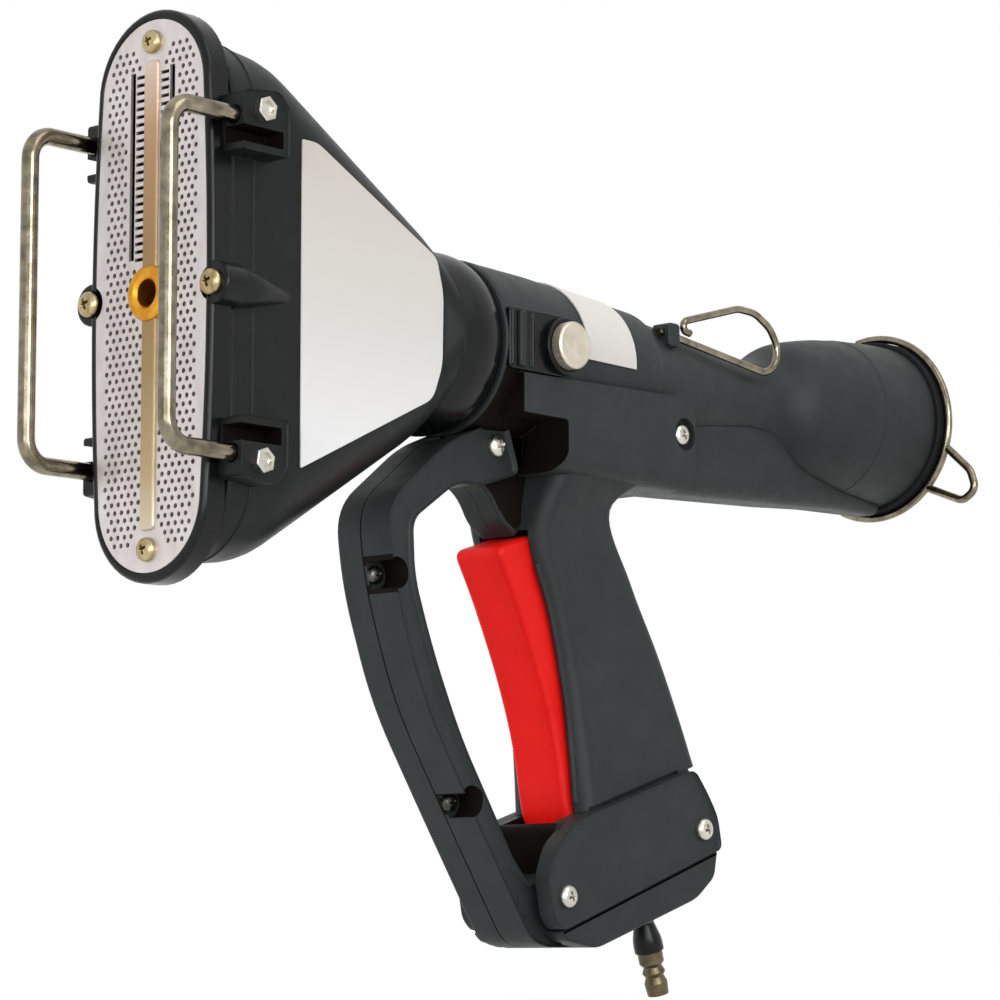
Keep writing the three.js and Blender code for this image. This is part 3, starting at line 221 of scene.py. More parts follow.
def bake(obj):
    """Turns an object's modifiers into its mesh."""
    mesh = evaluated_mesh(obj)
    obj.modifiers.clear()
    obj.data = mesh


def combine(obj, operation, others):
    """Works the other solids into the object, and removes them."""
    for other in others:
        step = obj.modifiers.new(operation.lower(), "BOOLEAN")
        step.operation = operation
        step.solver = "EXACT"
        step.object = other
    bake(obj)
    for other in others:
        bpy.data.objects.remove(other)
    return obj


def cut(obj, *others):
    return combine(obj, "DIFFERENCE", others)


def unite(obj, *others):
    return combine(obj, "UNION", others)


def outline(corners, steps=6):
    """A closed outline through corner points, each rounded by its own third number."""
    points = []
    count = len(corners)
    for i, corner in enumerate(corners):
        here = Vector(corner[:2])
        set_back = corner[2] if len(corner) > 2 else 0
        if not set_back:
            points.append(here)
            continue
        start = here + (Vector(corners[i - 1][:2]) - here).normalized() * set_back
        end = here + (Vector(corners[(i + 1) % count][:2]) - here).normalized() * set_back
        for step in range(steps + 1):
            t = step / steps
            points.append(start * (1 - t) ** 2 + here * 2 * t * (1 - t) + end * t ** 2)
    return points


def rectangle(left, bottom, right, top, ease=0, steps=6):
    corners = ((left, bottom), (right, bottom), (right, top), (left, top))
    return outline([(*corner, ease) for corner in corners], steps)


def circle(centre, radius, sides):
    steps = [2 * math.pi * (i + 0.5) / sides for i in range(sides)]
    return [centre + radius * Vector((math.cos(a), math.sin(a))) for a in steps]


def hexagon():
    return [Vector((math.cos(math.pi / 3 * i), math.sin(math.pi / 3 * i))) for i in range(6)]


def oval(size, inset=0, end_steps=24, side_steps=12):
    """A long oval with slightly bulging sides, as (y, z) points."""
    half_height, half_width, end_radius = size
    arc_height = half_height - end_radius
    radius = end_radius - inset
    points = []
    for side in (1, -1):
        for i in range(end_steps):
            angle = math.pi * i / end_steps
            points.append(side * Vector((radius * math.cos(angle), arc_height + radius * math.sin(angle))))
        for i in range(side_steps):
            place = 1 - 2 * i / side_steps
            bulge = (half_width - end_radius) * (1 - place ** 2)
            points.append(side * Vector((-(end_radius + bulge - inset), arc_height * place)))
    return points


def rounded_ring(x, bottom, top, half_width, radius):
    """A ring across the X axis: a box with rounded corners."""
    steps = 8
    points = []
    side, upper, lower = half_width - radius, top - radius, bottom + radius
    corners = ((side, upper), (-side, upper), (-side, lower), (side, lower))
    for quarter, (y, z) in enumerate(corners):
        for step in range(steps + 1):
            angle = math.pi / 2 * (quarter + step / steps)
            points.append(Vector((x, y + radius * math.cos(angle), z + radius * math.sin(angle))))
    return points


def smooth_at(stops, place):
    """The value at a place of a smooth curve through (place, value) stops; a value may be a vector."""
    i = max(k for k in range(len(stops) - 1) if stops[k][0] <= place + 1e-9)
    before, here, beyond = stops[max(i - 1, 0)], stops[i], stops[i + 1]
    after = stops[min(i + 2, len(stops) - 1)]
    span = beyond[0] - here[0]
    t = (place - here[0]) / span
    slope_in = (beyond[1] - before[1]) / (beyond[0] - before[0]) * span
    slope_out = (after[1] - here[1]) / (after[0] - here[0]) * span
    return (here[1] * (2 * t ** 3 - 3 * t ** 2 + 1) + slope_in * (t ** 3 - 2 * t ** 2 + t)
            + beyond[1] * (3 * t ** 2 - 2 * t ** 3) + slope_out * (t ** 3 - t ** 2))


def smooth_course(stops, count):
    """Points of the smooth curve through (place, value) stops."""
    first, last = stops[0][0], stops[-1][0]
    places = [first + (last - first) * step / count for step in range(count + 1)]
    return [(place, smooth_at(stops, place)) for place in places]


def shrunk(points, inset):
    """The same outline moved inwards."""
    count = len(points)
    area = sum(points[i - 1].cross(points[i]) for i in range(count))
    turn = 1 if area > 0 else -1
    moved = []
    for i, here in enumerate(points):
        before = (here - points[i - 1]).normalized()
        after = (points[(i + 1) % count] - here).normalized()
        inward = Vector((-before.y - after.y, before.x + after.x)) * turn
        length = max(inward.length, 1)
        moved.append(here + inward * (2 * inset / length ** 2))
    return moved


def bridged(name, rings, closed=False):
    """A solid through rings that have the same number of points: with flat ends, or as a closed loop."""
    count = len(rings[0])
    points = [point for ring in rings for point in ring]
    last = len(points) - 1
    faces = [] if closed else [tuple(range(count)), tuple(range(last, last - count, -1))]
    for level in range(len(rings) if closed else len(rings) - 1):
        start = level * count
        beyond = (level + 1) % len(rings) * count
        for i in range(count):
            after = (i + 1) % count
            faces.append((start + i, start + after, beyond + after, beyond + i))
    return mesh_object(name, points, faces)


def slab(name, points, start, end, along="y", ease=0, ease_end=None, steps=4):
    """Pushes an outline out between two places, with rounded edges at its start and end."""
    spot = {
        "x": lambda p, level: Vector((level, p[0], p[1])),
        "y": lambda p, level: Vector((p[0], level, p[1])),
        "raked": lambda p, level: raked(p[0], level, p[1]),
    }[along]
    points = [Vector(point) for point in points]
    ends = []
    for radius, place, way in ((ease, start, 1), (ease if ease_end is None else ease_end, end, -1)):
        quarter = [math.pi / 2 * i / steps for i in range(steps + 1)] if radius else [0]
        ends.append([(place + way * radius * (1 - math.cos(a)), radius * (1 - math.sin(a))) for a in quarter])
    course = ends[0] + ends[1][::-1]
    return bridged(name, [[spot(p, level) for p in shrunk(points, inset)] for level, inset in course])


def turned(name, profile, origin=(0, 0, 0), axis=(1, 0, 0), sides=96, ripple=None):
    """Turns a profile of (place on the axis, radius) points, which is open if its ends lie on the axis.
    ripple is (count, depth, from, to): grooves along the axis between two places."""
    axis = Vector(axis).normalized()
    across = axis.orthogonal().normalized()
    if abs(axis.x) > 0.99:
        across = Vector((0, 1, 0))
    upward = axis.cross(across)
    points = []
    for i in range(sides):
        angle = 2 * math.pi * i / sides
        outward = across * math.cos(angle) + upward * math.sin(angle)
        for place, radius in profile:
            if ripple and ripple[2] <= place <= ripple[3]:
                radius = radius - ripple[1] * (0.5 - 0.5 * math.cos(ripple[0] * angle))
            points.append(Vector(origin) + axis * place + outward * radius)
    count = len(profile)
    closed = profile[0][1] > 0
    faces = []
    for i in range(sides):
        after = (i + 1) % sides
        for k in range(count if closed else count - 1):
            beside = (k + 1) % count
            faces.append((i * count + k, i * count + beside, after * count + beside, after * count + k))
    return mesh_object(name, points, faces)


def rounded_profile(corners):
    return [tuple(point) for point in outline(corners, 4)]


def plug(start, end, radius, origin=(0, 0, 0), axis=(1, 0, 0), sides=48, end_radius=None):
    """A round solid between two places on its axis, for cutting a hole."""
    profile = [(start, 0), (start, radius), (end, end_radius or radius), (end, 0)]
    return turned("plug", profile, origin, axis, sides)


def bent_path(corners, bends):
    """Points along a path, with one bend radius for all the inner corners or a list of them."""
    corners = [Vector(corner) for corner in corners]
    if not isinstance(bends, (list, tuple)):
        bends = [bends] * (len(corners) - 2)
    steps = 10
    path = [corners[0]]
    for before, here, after, bend in zip(corners, corners[1:], corners[2:], bends):
        arriving = (here - before).normalized()
        leaving = (after - here).normalized()
        turn = arriving.angle(leaving)
        start = here - arriving * bend * math.tan(turn / 2)
        inward = (leaving - arriving * arriving.dot(leaving)).normalized()
        for step in range(steps + 1):
            angle = turn * step / steps
            path.append(start + arriving * bend * math.sin(angle) + inward * bend * (1 - math.cos(angle)))
    path.append(corners[-1])
    return path


def wire(name, path, radius):
    """Round wire along a path, as a mesh."""
    curve = bpy.data.curves.new(name, "CURVE")
    curve.dimensions = "3D"
    curve.bevel_depth = radius * MM
    curve.bevel_resolution = 5
    curve.use_fill_caps = True
    spline = curve.splines.new("POLY")
    spline.points.add(len(path) - 1)
    for stop, point in zip(spline.points, path):
        stop.co = (*(Vector(point) * MM), 1)
    guide = add_object(name + "_guide", curve)
    mesh = evaluated_mesh(guide)
    bpy.data.objects.remove(guide)
    return add_object(name, mesh)


def merged(name, *objects):
    """Several meshes as one object, left as they are."""
    whole = bmesh.new()
    for obj in objects:
        whole.from_mesh(obj.data)
    mesh = bpy.data.meshes.new(name)
    whole.to_mesh(mesh)
    whole.free()
    for obj in objects:
        bpy.data.objects.remove(obj)
    return add_object(name, mesh)


# Finishes
def srgb(red, green, blue):
    """A colour written as 0 to 255 in sRGB, as linear numbers."""
    def linear(value):
        value /= 255
        return value / 12.92 if value <= 0.04045 else ((value + 0.055) / 1.055) ** 2.4
    return (linear(red), linear(green), linear(blue), 1)


def set_inputs(node, **values):
    """Sets a shader node's inputs by name, where an underscore stands for a space."""
    for socket, value in values.items():
        node.inputs[socket.replace("_", " ")].default_value = value
    return node


class Finish:
    """A material built from nodes round one Principled shader."""

    def __init__(self, name, roughness, metallic=0.0, **fixed):
        self.material = bpy.data.materials.new(name)
        self.material.use_nodes = True
        self.tree = self.material.node_tree
        self.links = self.tree.links
        self.shader = self.tree.nodes["Principled BSDF"]
        set_inputs(self.shader, Roughness=roughness, Metallic=metallic, **fixed)
        self.place = self.node("TexCoord").outputs["Object"]

    def node(self, kind, **values):
        return set_inputs(self.tree.nodes.new("ShaderNode" + kind), **values)

    def noise(self, size_mm, detail=3.0, stretch=(1, 1, 1)):
        """Noise whose blotches are about size_mm across."""
        mapping = self.node("Mapping", Scale=[1 / s for s in stretch])
        self.links.new(self.place, mapping.inputs["Vector"])
        node = self.node("TexNoise", Scale=1 / (size_mm * MM), Detail=detail)
        self.links.new(mapping.outputs["Vector"], node.inputs["Vector"])
        return node.outputs["Fac"]

    def height(self, start_mm, end_mm):
        """0 to 1 upwards between two heights."""
        parts = self.node("SeparateXYZ")
        self.links.new(self.place, parts.inputs[0])
        span = self.node("MapRange", From_Min=start_mm * MM, From_Max=end_mm * MM)
        self.links.new(parts.outputs["Z"], span.inputs["Value"])
        return span.outputs["Result"]

    def colour(self, factor, *stops):
        """Runs the colour through (place, sRGB colour) stops."""
        node = self.node("ValToRGB")
        self.links.new(factor, node.inputs["Fac"])
        elements = node.color_ramp.elements
        while len(elements) < len(stops):
            elements.new(0.5)
        for element, (place, colour) in zip(elements, stops):
            element.position = place
            element.color = srgb(*colour)
        self.links.new(node.outputs["Color"], self.shader.inputs["Base Color"])

    def cloudy(self, factor, dark, light):
        self.colour(factor, (0.3, dark), (0.7, light))

    def rough(self, factor, smoothest, roughest):
        span = self.node("MapRange", From_Min=0.3, From_Max=0.7, To_Min=smoothest, To_Max=roughest)
        self.links.new(factor, span.inputs["Value"])
        self.links.new(span.outputs["Result"], self.shader.inputs["Roughness"])

    def bump(self, factor, depth_mm, edge_mm):
        """Raises the surface by a texture, and softens the look of sharp edges."""
        node = self.node("Bump", Strength=1, Distance=depth_mm * MM)
        self.links.new(factor, node.inputs["Height"])
        edge = self.node("Bevel", Radius=edge_mm * MM)
        edge.samples = 4
        self.links.new(edge.outputs["Normal"], node.inputs["Normal"])
        self.links.new(node.outputs["Normal"], self.shader.inputs["Normal"])


def moulded(name, dark, light, roughness, grain_mm=0.35, grain_depth=0.012, gloss=0.16):
    """Moulded plastic: faint cloudy colour, a fine grain and an uneven gloss."""
    cloud_mm, blotch_mm = 14, 6
    unevenness = 0.05
    soft_edge = 0.5
    finish = Finish(name, roughness, Specular_IOR_Level=gloss)
    finish.cloudy(finish.noise(cloud_mm), dark, light)
    finish.rough(finish.noise(blotch_mm), roughness - unevenness, roughness + unevenness)
    finish.bump(finish.noise(grain_mm, 1.0), grain_depth, soft_edge)
    return finish.material


def metal(name, dark, light, roughness, spread=0.08, scratch=(1, 1, 1), metallic=1.0):
    """Metal with faint handling marks that can be drawn out along one axis."""
    smoothest = 0.05
    mark_depth = 0.004
    soft_edge = 0.15
    finish = Finish(name, roughness, metallic)
    finish.cloudy(finish.noise(5, 4, scratch), dark, light)
    finish.rough(finish.noise(1.2, 3, scratch), max(roughness - spread, smoothest), roughness + spread)
    finish.bump(finish.noise(0.4, 2, scratch), mark_depth, soft_edge)
    return finish.material


def make_tinted_steel():
    """Steel tinted by heat: cream at its top end, tan in the middle and olive brown below."""
    finish = Finish("tinted_steel", 0.42, 0.45)
    finish.colour(finish.height(-RIDGE_HALF_HEIGHT, RIDGE_HALF_HEIGHT),
                  (0, (196, 184, 162)), (0.12, (172, 152, 114)), (0.35, (150, 126, 84)),
                  (0.6, (148, 118, 78)), (0.85, (168, 137, 102)), (1, (206, 182, 168)))
    finish.rough(finish.noise(3, 3, (1, 1, 4)), 0.35, 0.5)
    finish.bump(finish.noise(0.8, 3, (1, 1, 6)), 0.01, 0.2)
    return finish.material


def make_white_plate_with_painted_sheen():
    """White lacquered sheet with a painted sheen: warm and a little darker at the top, cooler and brighter
    below.
    """
    finish = Finish("white_plate", 0.35, Specular_IOR_Level=0.25)
    finish.colour(finish.height(-60, 60), (0, (250, 250, 252)), (0.25, (238, 237, 236)),
                  (0.5, (226, 223, 218)), (1, (214, 207, 199)))
    finish.rough(finish.noise(8), 0.3, 0.42)
    finish.bump(finish.noise(1.5, 2), 0.004, 0.2)
    return finish.material


# A plastic's darker and lighter colour, its roughness, and where they are unusual its grain and its gloss
PLASTICS = {
    "charcoal_plastic": ((44, 48, 48), (50, 54, 54), 0.5),
    # head_shaded_plastic is a darker copy of the charcoal: painted shade on the head shell's sides
    "head_shaded_plastic": ((20, 22, 22), (27, 29, 29), 0.42),
    "gloss_black_plastic": ((11, 12, 13), (16, 17, 18), 0.26, 0.8, 0.003, 0.22),
    # painted_shade_black is painted shade: a near-black laid on faces in pockets, gaps and hollows where
    # shade falls
    "painted_shade_black": ((18, 14, 12), (24, 19, 16), 0.6, 0.8, 0.003, 0.05),
    "red_plastic": ((240, 22, 18), (246, 26, 20), 0.45, 0.5, 0.006),
    "black_rubber": ((20, 21, 22), (28, 29, 30), 0.7, 0.5, 0.02),
    "ceramic": ((226, 221, 206), (238, 234, 222), 0.4, 0.4, 0.006),
    "red_silicone": ((132, 38, 28), (152, 48, 36), 0.6, 0.5, 0.01),
}
# A metal's darker and lighter colour, its roughness, and where they are unusual the spread of its roughness,
# the way its scratches are drawn out and how metallic it is
METALS = {
    "stainless_steel": ((194, 187, 185), (210, 203, 201), 0.4, 0.1, (1, 1, 3), 0.6),
    "chrome_wire": ((100, 93, 79), (148, 139, 120), 0.18, 0.05),
    "zinc_steel": ((180, 178, 170), (212, 208, 198), 0.3),
    "knob_finish": ((190, 182, 166), (208, 200, 186), 0.5, 0.06),
    # pocket_shaded_screw is a darker copy of the zinc: painted shade on the screws deep in the guard's
    # pockets
    "pocket_shaded_screw": ((60, 60, 58), (86, 86, 82), 0.34),
    "yellow_zinc": ((158, 140, 100), (192, 177, 138), 0.32),
    "spring_steel": ((120, 122, 124), (150, 152, 155), 0.3),
    "brass": ((198, 134, 38), (228, 166, 58), 0.38),
    "bronze": ((120, 88, 48), (150, 112, 62), 0.42),
    "dark_brass": ((76, 68, 52), (112, 102, 80), 0.36),
    "copper": ((168, 98, 62), (196, 124, 84), 0.34),
}
FINISHES = {"tinted_steel": make_tinted_steel(), "white_plate": make_white_plate_with_painted_sheen()}
for finish_name, look_values in PLASTICS.items():
    FINISHES[finish_name] = moulded(finish_name, *look_values)
for finish_name, look_values in METALS.items():
    FINISHES[finish_name] = metal(finish_name, *look_values)


def dress(obj, slot, body, *nodes, look=None, sharp=45):
    """Gives a new piece its finish and the body it rides on, and hides the CAD nodes it stands for."""
    obj.data.materials.clear()
    obj.data.materials.append(FINISHES[look or slot])
    shade(obj, sharp)
    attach(obj, body)
    if nodes:
        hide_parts(*nodes)


def paint_shade(obj, inside):
    """Paints shade: gives near-black to the faces whose middle, in millimetres, lies in a hollow or gap where
    shade falls.
    """
    obj.data.materials.append(FINISHES["painted_shade_black"])
    black = len(obj.data.materials) - 1
    for face in obj.data.polygons:
        if inside(face.center / MM):
            face.material_index = black


def dress_cad_nodes():
    for row in frame["record"]["subparts"]:
        mesh = frame["nodes"][row["node"]].data
        mesh.materials.clear()
        mesh.materials.append(FINISHES[row["material_slot"]])


# Camera, light and floor
def view_axes(azimuth, elevation, roll):
    """The camera's right, up and backward directions, from angles in degrees."""
    a, e, r = (math.radians(angle) for angle in (azimuth, elevation, roll))
    back = Vector((math.sin(a) * math.cos(e), -math.cos(a) * math.cos(e), math.sin(e)))
    right = (-back).cross(Vector((0, 0, 1))).normalized()
    up = right.cross(-back)
    return math.cos(r) * right + math.sin(r) * up, math.cos(r) * up - math.sin(r) * right, back


def make_camera():
    """The photograph's view: where one known point falls in the picture fixes the camera."""
    image = 1000
    focal_px = 3500
    sensor = 36
    aim = Vector((-55, 0, 0))
    aim_px = Vector((438.9, 347.6))
    distance = 1306.8
    right, up, back = view_axes(-47.84, -7.56, -0.11)
    offset = (aim_px - Vector((image / 2, image / 2))) * distance / focal_px
    place = aim + back * distance - right * offset.x + up * offset.y
    data = bpy.data.cameras.new("camera")
    data.sensor_width = sensor
    data.lens = focal_px / image * sensor
    data.clip_start = 0.05
    data.clip_end = 20
    camera = add_object("camera", data)
    turn = Matrix((right, up, back)).transposed().to_4x4()
    camera.matrix_world = Matrix.Translation(place * MM) @ turn
    bpy.context.scene.camera = camera
    bpy.context.scene.view_settings.view_transform = "Standard"


def make_lamp(name, place, size, watts, matt=True, gloss=True):
    """A square lamp aimed at the tool. It can be left out of the matt light or of the gloss."""
    aim = Vector((0, 0, -0.05))
    data = bpy.data.lights.new(name, "AREA")
    data.size = size
    data.energy = watts
    lamp = add_object(name, data)
    lamp.location = place
    lamp.rotation_euler = (aim - Vector(place)).to_track_quat("-Z", "Y").to_euler()
    lamp.visible_camera = False
    lamp.visible_diffuse = matt
    lamp.visible_glossy = gloss


def white_rays(tree):
    """1 where the camera, a mirror or a glass looks, and 0 for the light that falls on the object."""
    rays = tree.nodes.new("ShaderNodeLightPath")
    total = rays.outputs["Is Camera Ray"]
    for kind in ("Is Glossy Ray", "Is Transmission Ray"):
        add = tree.nodes.new("ShaderNodeMath")
        add.operation = "ADD"
        add.use_clamp = True
        tree.links.new(total, add.inputs[0])
        tree.links.new(rays.outputs[kind], add.inputs[1])
        total = add.outputs[0]
    return total


def make_world(from_below, from_above):
    """Soft light, strongest from above, and a white background for the camera and in reflections."""
    world = bpy.data.worlds.new("studio")
    bpy.context.scene.world = world
    world.use_nodes = True
    tree = world.node_tree
    direction = tree.nodes.new("ShaderNodeSeparateXYZ")
    tree.links.new(tree.nodes.new("ShaderNodeTexCoord").outputs["Generated"], direction.inputs[0])
    sky = set_inputs(tree.nodes.new("ShaderNodeMapRange"),
                     From_Min=-0.6, From_Max=0.8, To_Min=from_below, To_Max=from_above)
    tree.links.new(direction.outputs["Z"], sky.inputs["Value"])
    strength = set_inputs(tree.nodes.new("ShaderNodeMix"), B=1)
    tree.links.new(white_rays(tree), strength.inputs["Factor"])
    tree.links.new(sky.outputs["Result"], strength.inputs["A"])
    background = set_inputs(tree.nodes["Background"], Color=(1, 1, 1, 1))
    tree.links.new(strength.outputs["Result"], background.inputs["Strength"])


def make_floor():
    """A pale floor that the camera sees as white outside the object's shadow."""
    size = 3000
    gap = 0.4
    glow = 0.66
    z = cad_bounds[0].z / MM - gap
    corners = [(-size, -size, z), (size, -size, z), (size, size, z), (-size, size, z)]
    floor = mesh_object("floor", corners, [(0, 1, 2, 3)])
    finish = Finish("floor", 0.9, Specular_IOR_Level=0.1, Emission_Color=(1, 1, 1, 1))
    finish.cloudy(finish.noise(300), (184, 184, 183), (188, 188, 187))
    lift = finish.node("Math")
    lift.operation = "MULTIPLY"
    finish.links.new(white_rays(finish.tree), lift.inputs[0])
    lift.inputs[1].default_value = glow
    finish.links.new(lift.outputs[0], finish.shader.inputs["Emission Strength"])
    floor.data.materials.append(finish.material)


# Screws
def screw_template():
    """A pan head of radius 1 with a cross recess, seated at the origin and pointing along +Z."""
    head = turned("pan_head", [
        (0.72, 0), (0.715, 0.2), (0.69, 0.42), (0.64, 0.62), (0.55, 0.8), (0.42, 0.93), (0.25, 0.99),
        (0.1, 1), (0, 0.97), (0, 0.45), (-1, 0.45), (-1, 0),
    ], axis=(0, 0, 1), sides=48)
    arm, half, ease = 0.52, 0.13, 0.05
    quarter = [(arm, half, ease), (half, half, 0), (half, arm, ease)]
    corners = []
    for _ in range(4):
        corners += quarter
        quarter = [(-y, x, set_back) for x, y, set_back in quarter]
    cross = outline(corners, 2)
    rings = [[(p.x * scale, p.y * scale, z) for p in cross] for z, scale in ((0.25, 0.45), (0.9, 1.15))]
    return cut(head, bridged("cross", rings))


def hexagon_template():
    """A hexagon head of radius 1 with a chamfered top and a shallow dimple."""
    rings = [[(p.x * scale, p.y * scale, z) for p in hexagon()]
             for z, scale in ((-1, 0.45), (0, 0.45), (0, 1), (0.62, 1), (0.7, 0.9))]
    dimple = plug(0.45, 1, 0.52, axis=(0, 0, 1), sides=32, end_radius=0.62)
    return cut(bridged("hexagon_head", rings), dimple)


def put_screw(template, node, radius, seat, direction, body, slot="zinc_steel", look=None):
    spin = math.radians(20)
    turn = Vector((0, 0, 1)).rotation_difference(Vector(direction)).to_matrix().to_4x4()
    place = Matrix.Translation(Vector(seat) * MM) @ turn @ Matrix.Rotation(spin, 4, "Z")
    mesh = template.data.copy()
    mesh.transform(place @ Matrix.Scale(radius, 4))
    dress(add_object(node + "_shown", mesh), slot, body, node, look=look, sharp=35)


# Burner head
def head_course():
    """The head's half height at places along it, with its two corners softened and two thin beads."""
    knee_slope = (KNEE_HALF_HEIGHT - HEAD_HALF_HEIGHT) / (KNEE_X - RIM_BACK_X)
    course = []
    for bead_x in (RIM_BACK_X + 0.6, RIM_BACK_X + 10.4):
        for along, lift in ((0, 0), (0.35, 0.4), (0.75, 0.4), (1.1, 0)):
            x = bead_x + along
            course.append((x, HEAD_HALF_HEIGHT + knee_slope * (x - RIM_BACK_X), lift))
    corners = [(RIM_BACK_X, HEAD_HALF_HEIGHT), (KNEE_X, KNEE_HALF_HEIGHT, 7),
               (FLAT_END_X, FLAT_END_HALF_HEIGHT, 5), (NECK_X, NECK_RADIUS)]
    return sorted(course + [(point.x, point.y, 0) for point in outline(corners, 8)])


def make_head_shell():
    rings = []
    for x, half_height, lift in head_course():
        share = max(0, (x - FLAT_END_X) / (NECK_X - FLAT_END_X))
        half_width = HEAD_HALF_WIDTH + (NECK_RADIUS - HEAD_HALF_WIDTH) * share
        size = (half_height + lift, half_width + lift, min(half_width, half_height) + lift)
        rings.append([Vector((x, p.x, p.y)) for p in oval(size)])
    parts = [bridged("head_skin", rings)]
    for side in (-1, 1):
        parts += [screw_fin(side), guard_clamp(side, -1), guard_clamp(side, 1)]
    shell = merged("head_shell_shown", *parts)
    # The head shell wears a darker copy of the charcoal, which is painted shade on its sides
    dress(shell, "charcoal_plastic", "head", "head_shell", look="head_shaded_plastic", sharp=30)
    # Painted shade on the walls of each clamp's channel, under the raised block
    paint_shade(shell, in_clamp_channel)


def in_clamp_channel(point):
    """Whether a point is on the walls of the channel in a guard rod's clamp."""
    low_z, high_z = CLAMP_CHANNEL
    margin = 0.1
    above_skin, below_crest = 0.5, 0.9
    return (point.x < CLAMP_CHANNEL_END_X + margin and low_z - margin < abs(point.z) < high_z + margin
            and HEAD_HALF_WIDTH + above_skin < abs(point.y) < CLAMP_FACE_Y - below_crest)


def screw_fin(side):
    """The tapered fin behind a middle screw."""
    root = HEAD_HALF_WIDTH - 2
    length = 31
    shoulder = 10
    crest_height = SIDE_SCREW_Y + 5 - root
    rings = []
    for along, crest in outline([(0, crest_height), (shoulder, crest_height, 6), (length, 1.2)], 8):
        share = along / length
        root_half = 9 - 7.5 * share
        crest_half = 6 - 4.8 * share
        bend = min(3.5, crest * 0.6)
        corners = [(root, -root_half), (root + crest, -crest_half, bend), (root + crest, crest_half, bend),
                   (root, root_half)]
        rings.append([Vector((RIM_BACK_X + along, side * p.x, p.y)) for p in outline(corners, 6)])
    return bridged("fin", rings)


def guard_clamp(side, end):
    """The raised block that a guard rod's leg is pushed into, with a channel along the leg."""
    crest = side * CLAMP_FACE_Y
    low_z, high_z = (end * z for z in CLAMP_CHANNEL)
    block = slab("clamp", outline([
        (CLAMP_FRONT_X, end * 45.5, 1.4), (CLAMP_FRONT_X, end * 66, 1.4), (RIM_BACK_X + 12, end * 68, 2.5),
        (RIM_BACK_X + 17.5, end * 62, 2.5), (RIM_BACK_X + 17.5, end * 45.5, 1.4),
    ]), side * (HEAD_HALF_WIDTH - 0.5), crest, ease=0, ease_end=0.8)
    channel = slab("channel", outline([
        (CLAMP_FRONT_X - 1, low_z), (CLAMP_CHANNEL_END_X, low_z, 1), (CLAMP_CHANNEL_END_X, high_z, 1),
        (CLAMP_FRONT_X - 1, high_z),
    ]), crest - side * 9, crest + side)
    leg = plug(0, GUARD_LEG_END_X + 1 - FACE_X, GUARD_WIRE_RADIUS + 0.3,
               (FACE_X, side * GUARD_Y, end * GUARD_HALF_HEIGHT), sides=32)
    rim_room = slab("rim_room", oval(RIM, -0.1), FACE_X - 1, RIM_BACK_X, "x")
    return cut(block, channel, leg, rim_room)


def make_front_rim():
    """The rounded lip round the burner plate, with a lobe on each side for a screw."""
    outer = oval(RIM)
    inner = oval(PLATE, -0.1)
    deep = oval(MOUTH)
    lip = 2.0
    lip_steps = 6
    lobe_radius = 7.5
    counterbore_radius = 5.1
    plate_back = PLATE_FRONT_X + PLATE_THICKNESS
    course = [(RIM_BACK_X, shrunk(outer, 1)), (RIM_BACK_X - 0.8, outer)]
    for step in range(lip_steps + 1):
        angle = math.pi / 2 * (1 - step / lip_steps)
        course.append((FACE_X + lip * (1 - math.cos(angle)), shrunk(outer, lip * (1 - math.sin(angle)))))
    course += [(FACE_X + 0.05, shrunk(inner, -0.4)), (FACE_X + 0.6, inner), (plate_back, inner),
               (plate_back, deep), (RIM_BACK_X, deep)]
    band = bridged("rim_band", [[(x, p.x, p.y) for p in ring] for x, ring in course], closed=True)
    parts = [band]
    for side in (-1, 1):
        parts.append(turned("lobe", rounded_profile([
            (RIM_BACK_X, 0), (RIM_BACK_X, lobe_radius), (PLATE_FRONT_X, lobe_radius, 1.2), (PLATE_FRONT_X, 0),
        ]), origin=(0, side * SIDE_SCREW_Y, 0), sides=48))
        cut(band, plug(-3, 0, counterbore_radius, (PLATE_FRONT_X, side * SIDE_SCREW_Y, 0)))
    dress(merged("front_rim_shown", *parts), "gloss_black_plastic", "head", "front_rim", sharp=50)


def comb_slots():
    """Sideways air slots beside the ridge and the long slot that joins them, above the ring."""
    tooth_pitch = 2.8
    tooth = (2.1, 0.62)
    tooth_y = 6.2
    column_y, column_half = 10, 1.3
    lowest, highest = 12.6, 79
    slots = []
    for side in (-1, 1):
        for row in range(int((highest - lowest) / tooth_pitch) + 1):
            slots.append((Vector((side * tooth_y, lowest + row * tooth_pitch)), *tooth))
        middle = (lowest + highest) / 2
        slots.append((Vector((side * column_y, middle)), column_half, (highest - lowest) / 2))
    return slots


def plate_dots(slots):
    """The middles of the round holes: staggered rows, clear of all that the plate carries."""
    row_pitch, last_row = 2.87, 30
    column_pitch, last_column = 3.4, 7
    outermost = 23
    edge_room = 2.6
    ridge_room = 4.4
    ring_room = 1.6
    screw_room = 7.5
    slot_room = 1.3
    dots = []
    for row in range(-last_row, last_row + 1):
        for column in range(-last_column, last_column + 1):
            z = row * row_pitch
            y = (column + 0.5 * (row % 2)) * column_pitch
            reach = (PLATE[2] - edge_room) ** 2 - max(0, abs(z) - PLATE[0] + PLATE[2]) ** 2
            blank = [
                abs(y) >= min(math.sqrt(max(0, reach)), outermost),
                abs(y) <= ridge_room,
                Vector((y, z)).length < RING_RADIUS + ring_room,
                Vector((y, abs(z) - PLATE_SCREW_Z)).length < screw_room,
                any(abs(y - s.x) < half + slot_room and abs(z - s.y) < tall + slot_room
                    for s, half, tall in slots),
            ]
            if not any(blank):
                dots.append(Vector((y, z)))
    return dots


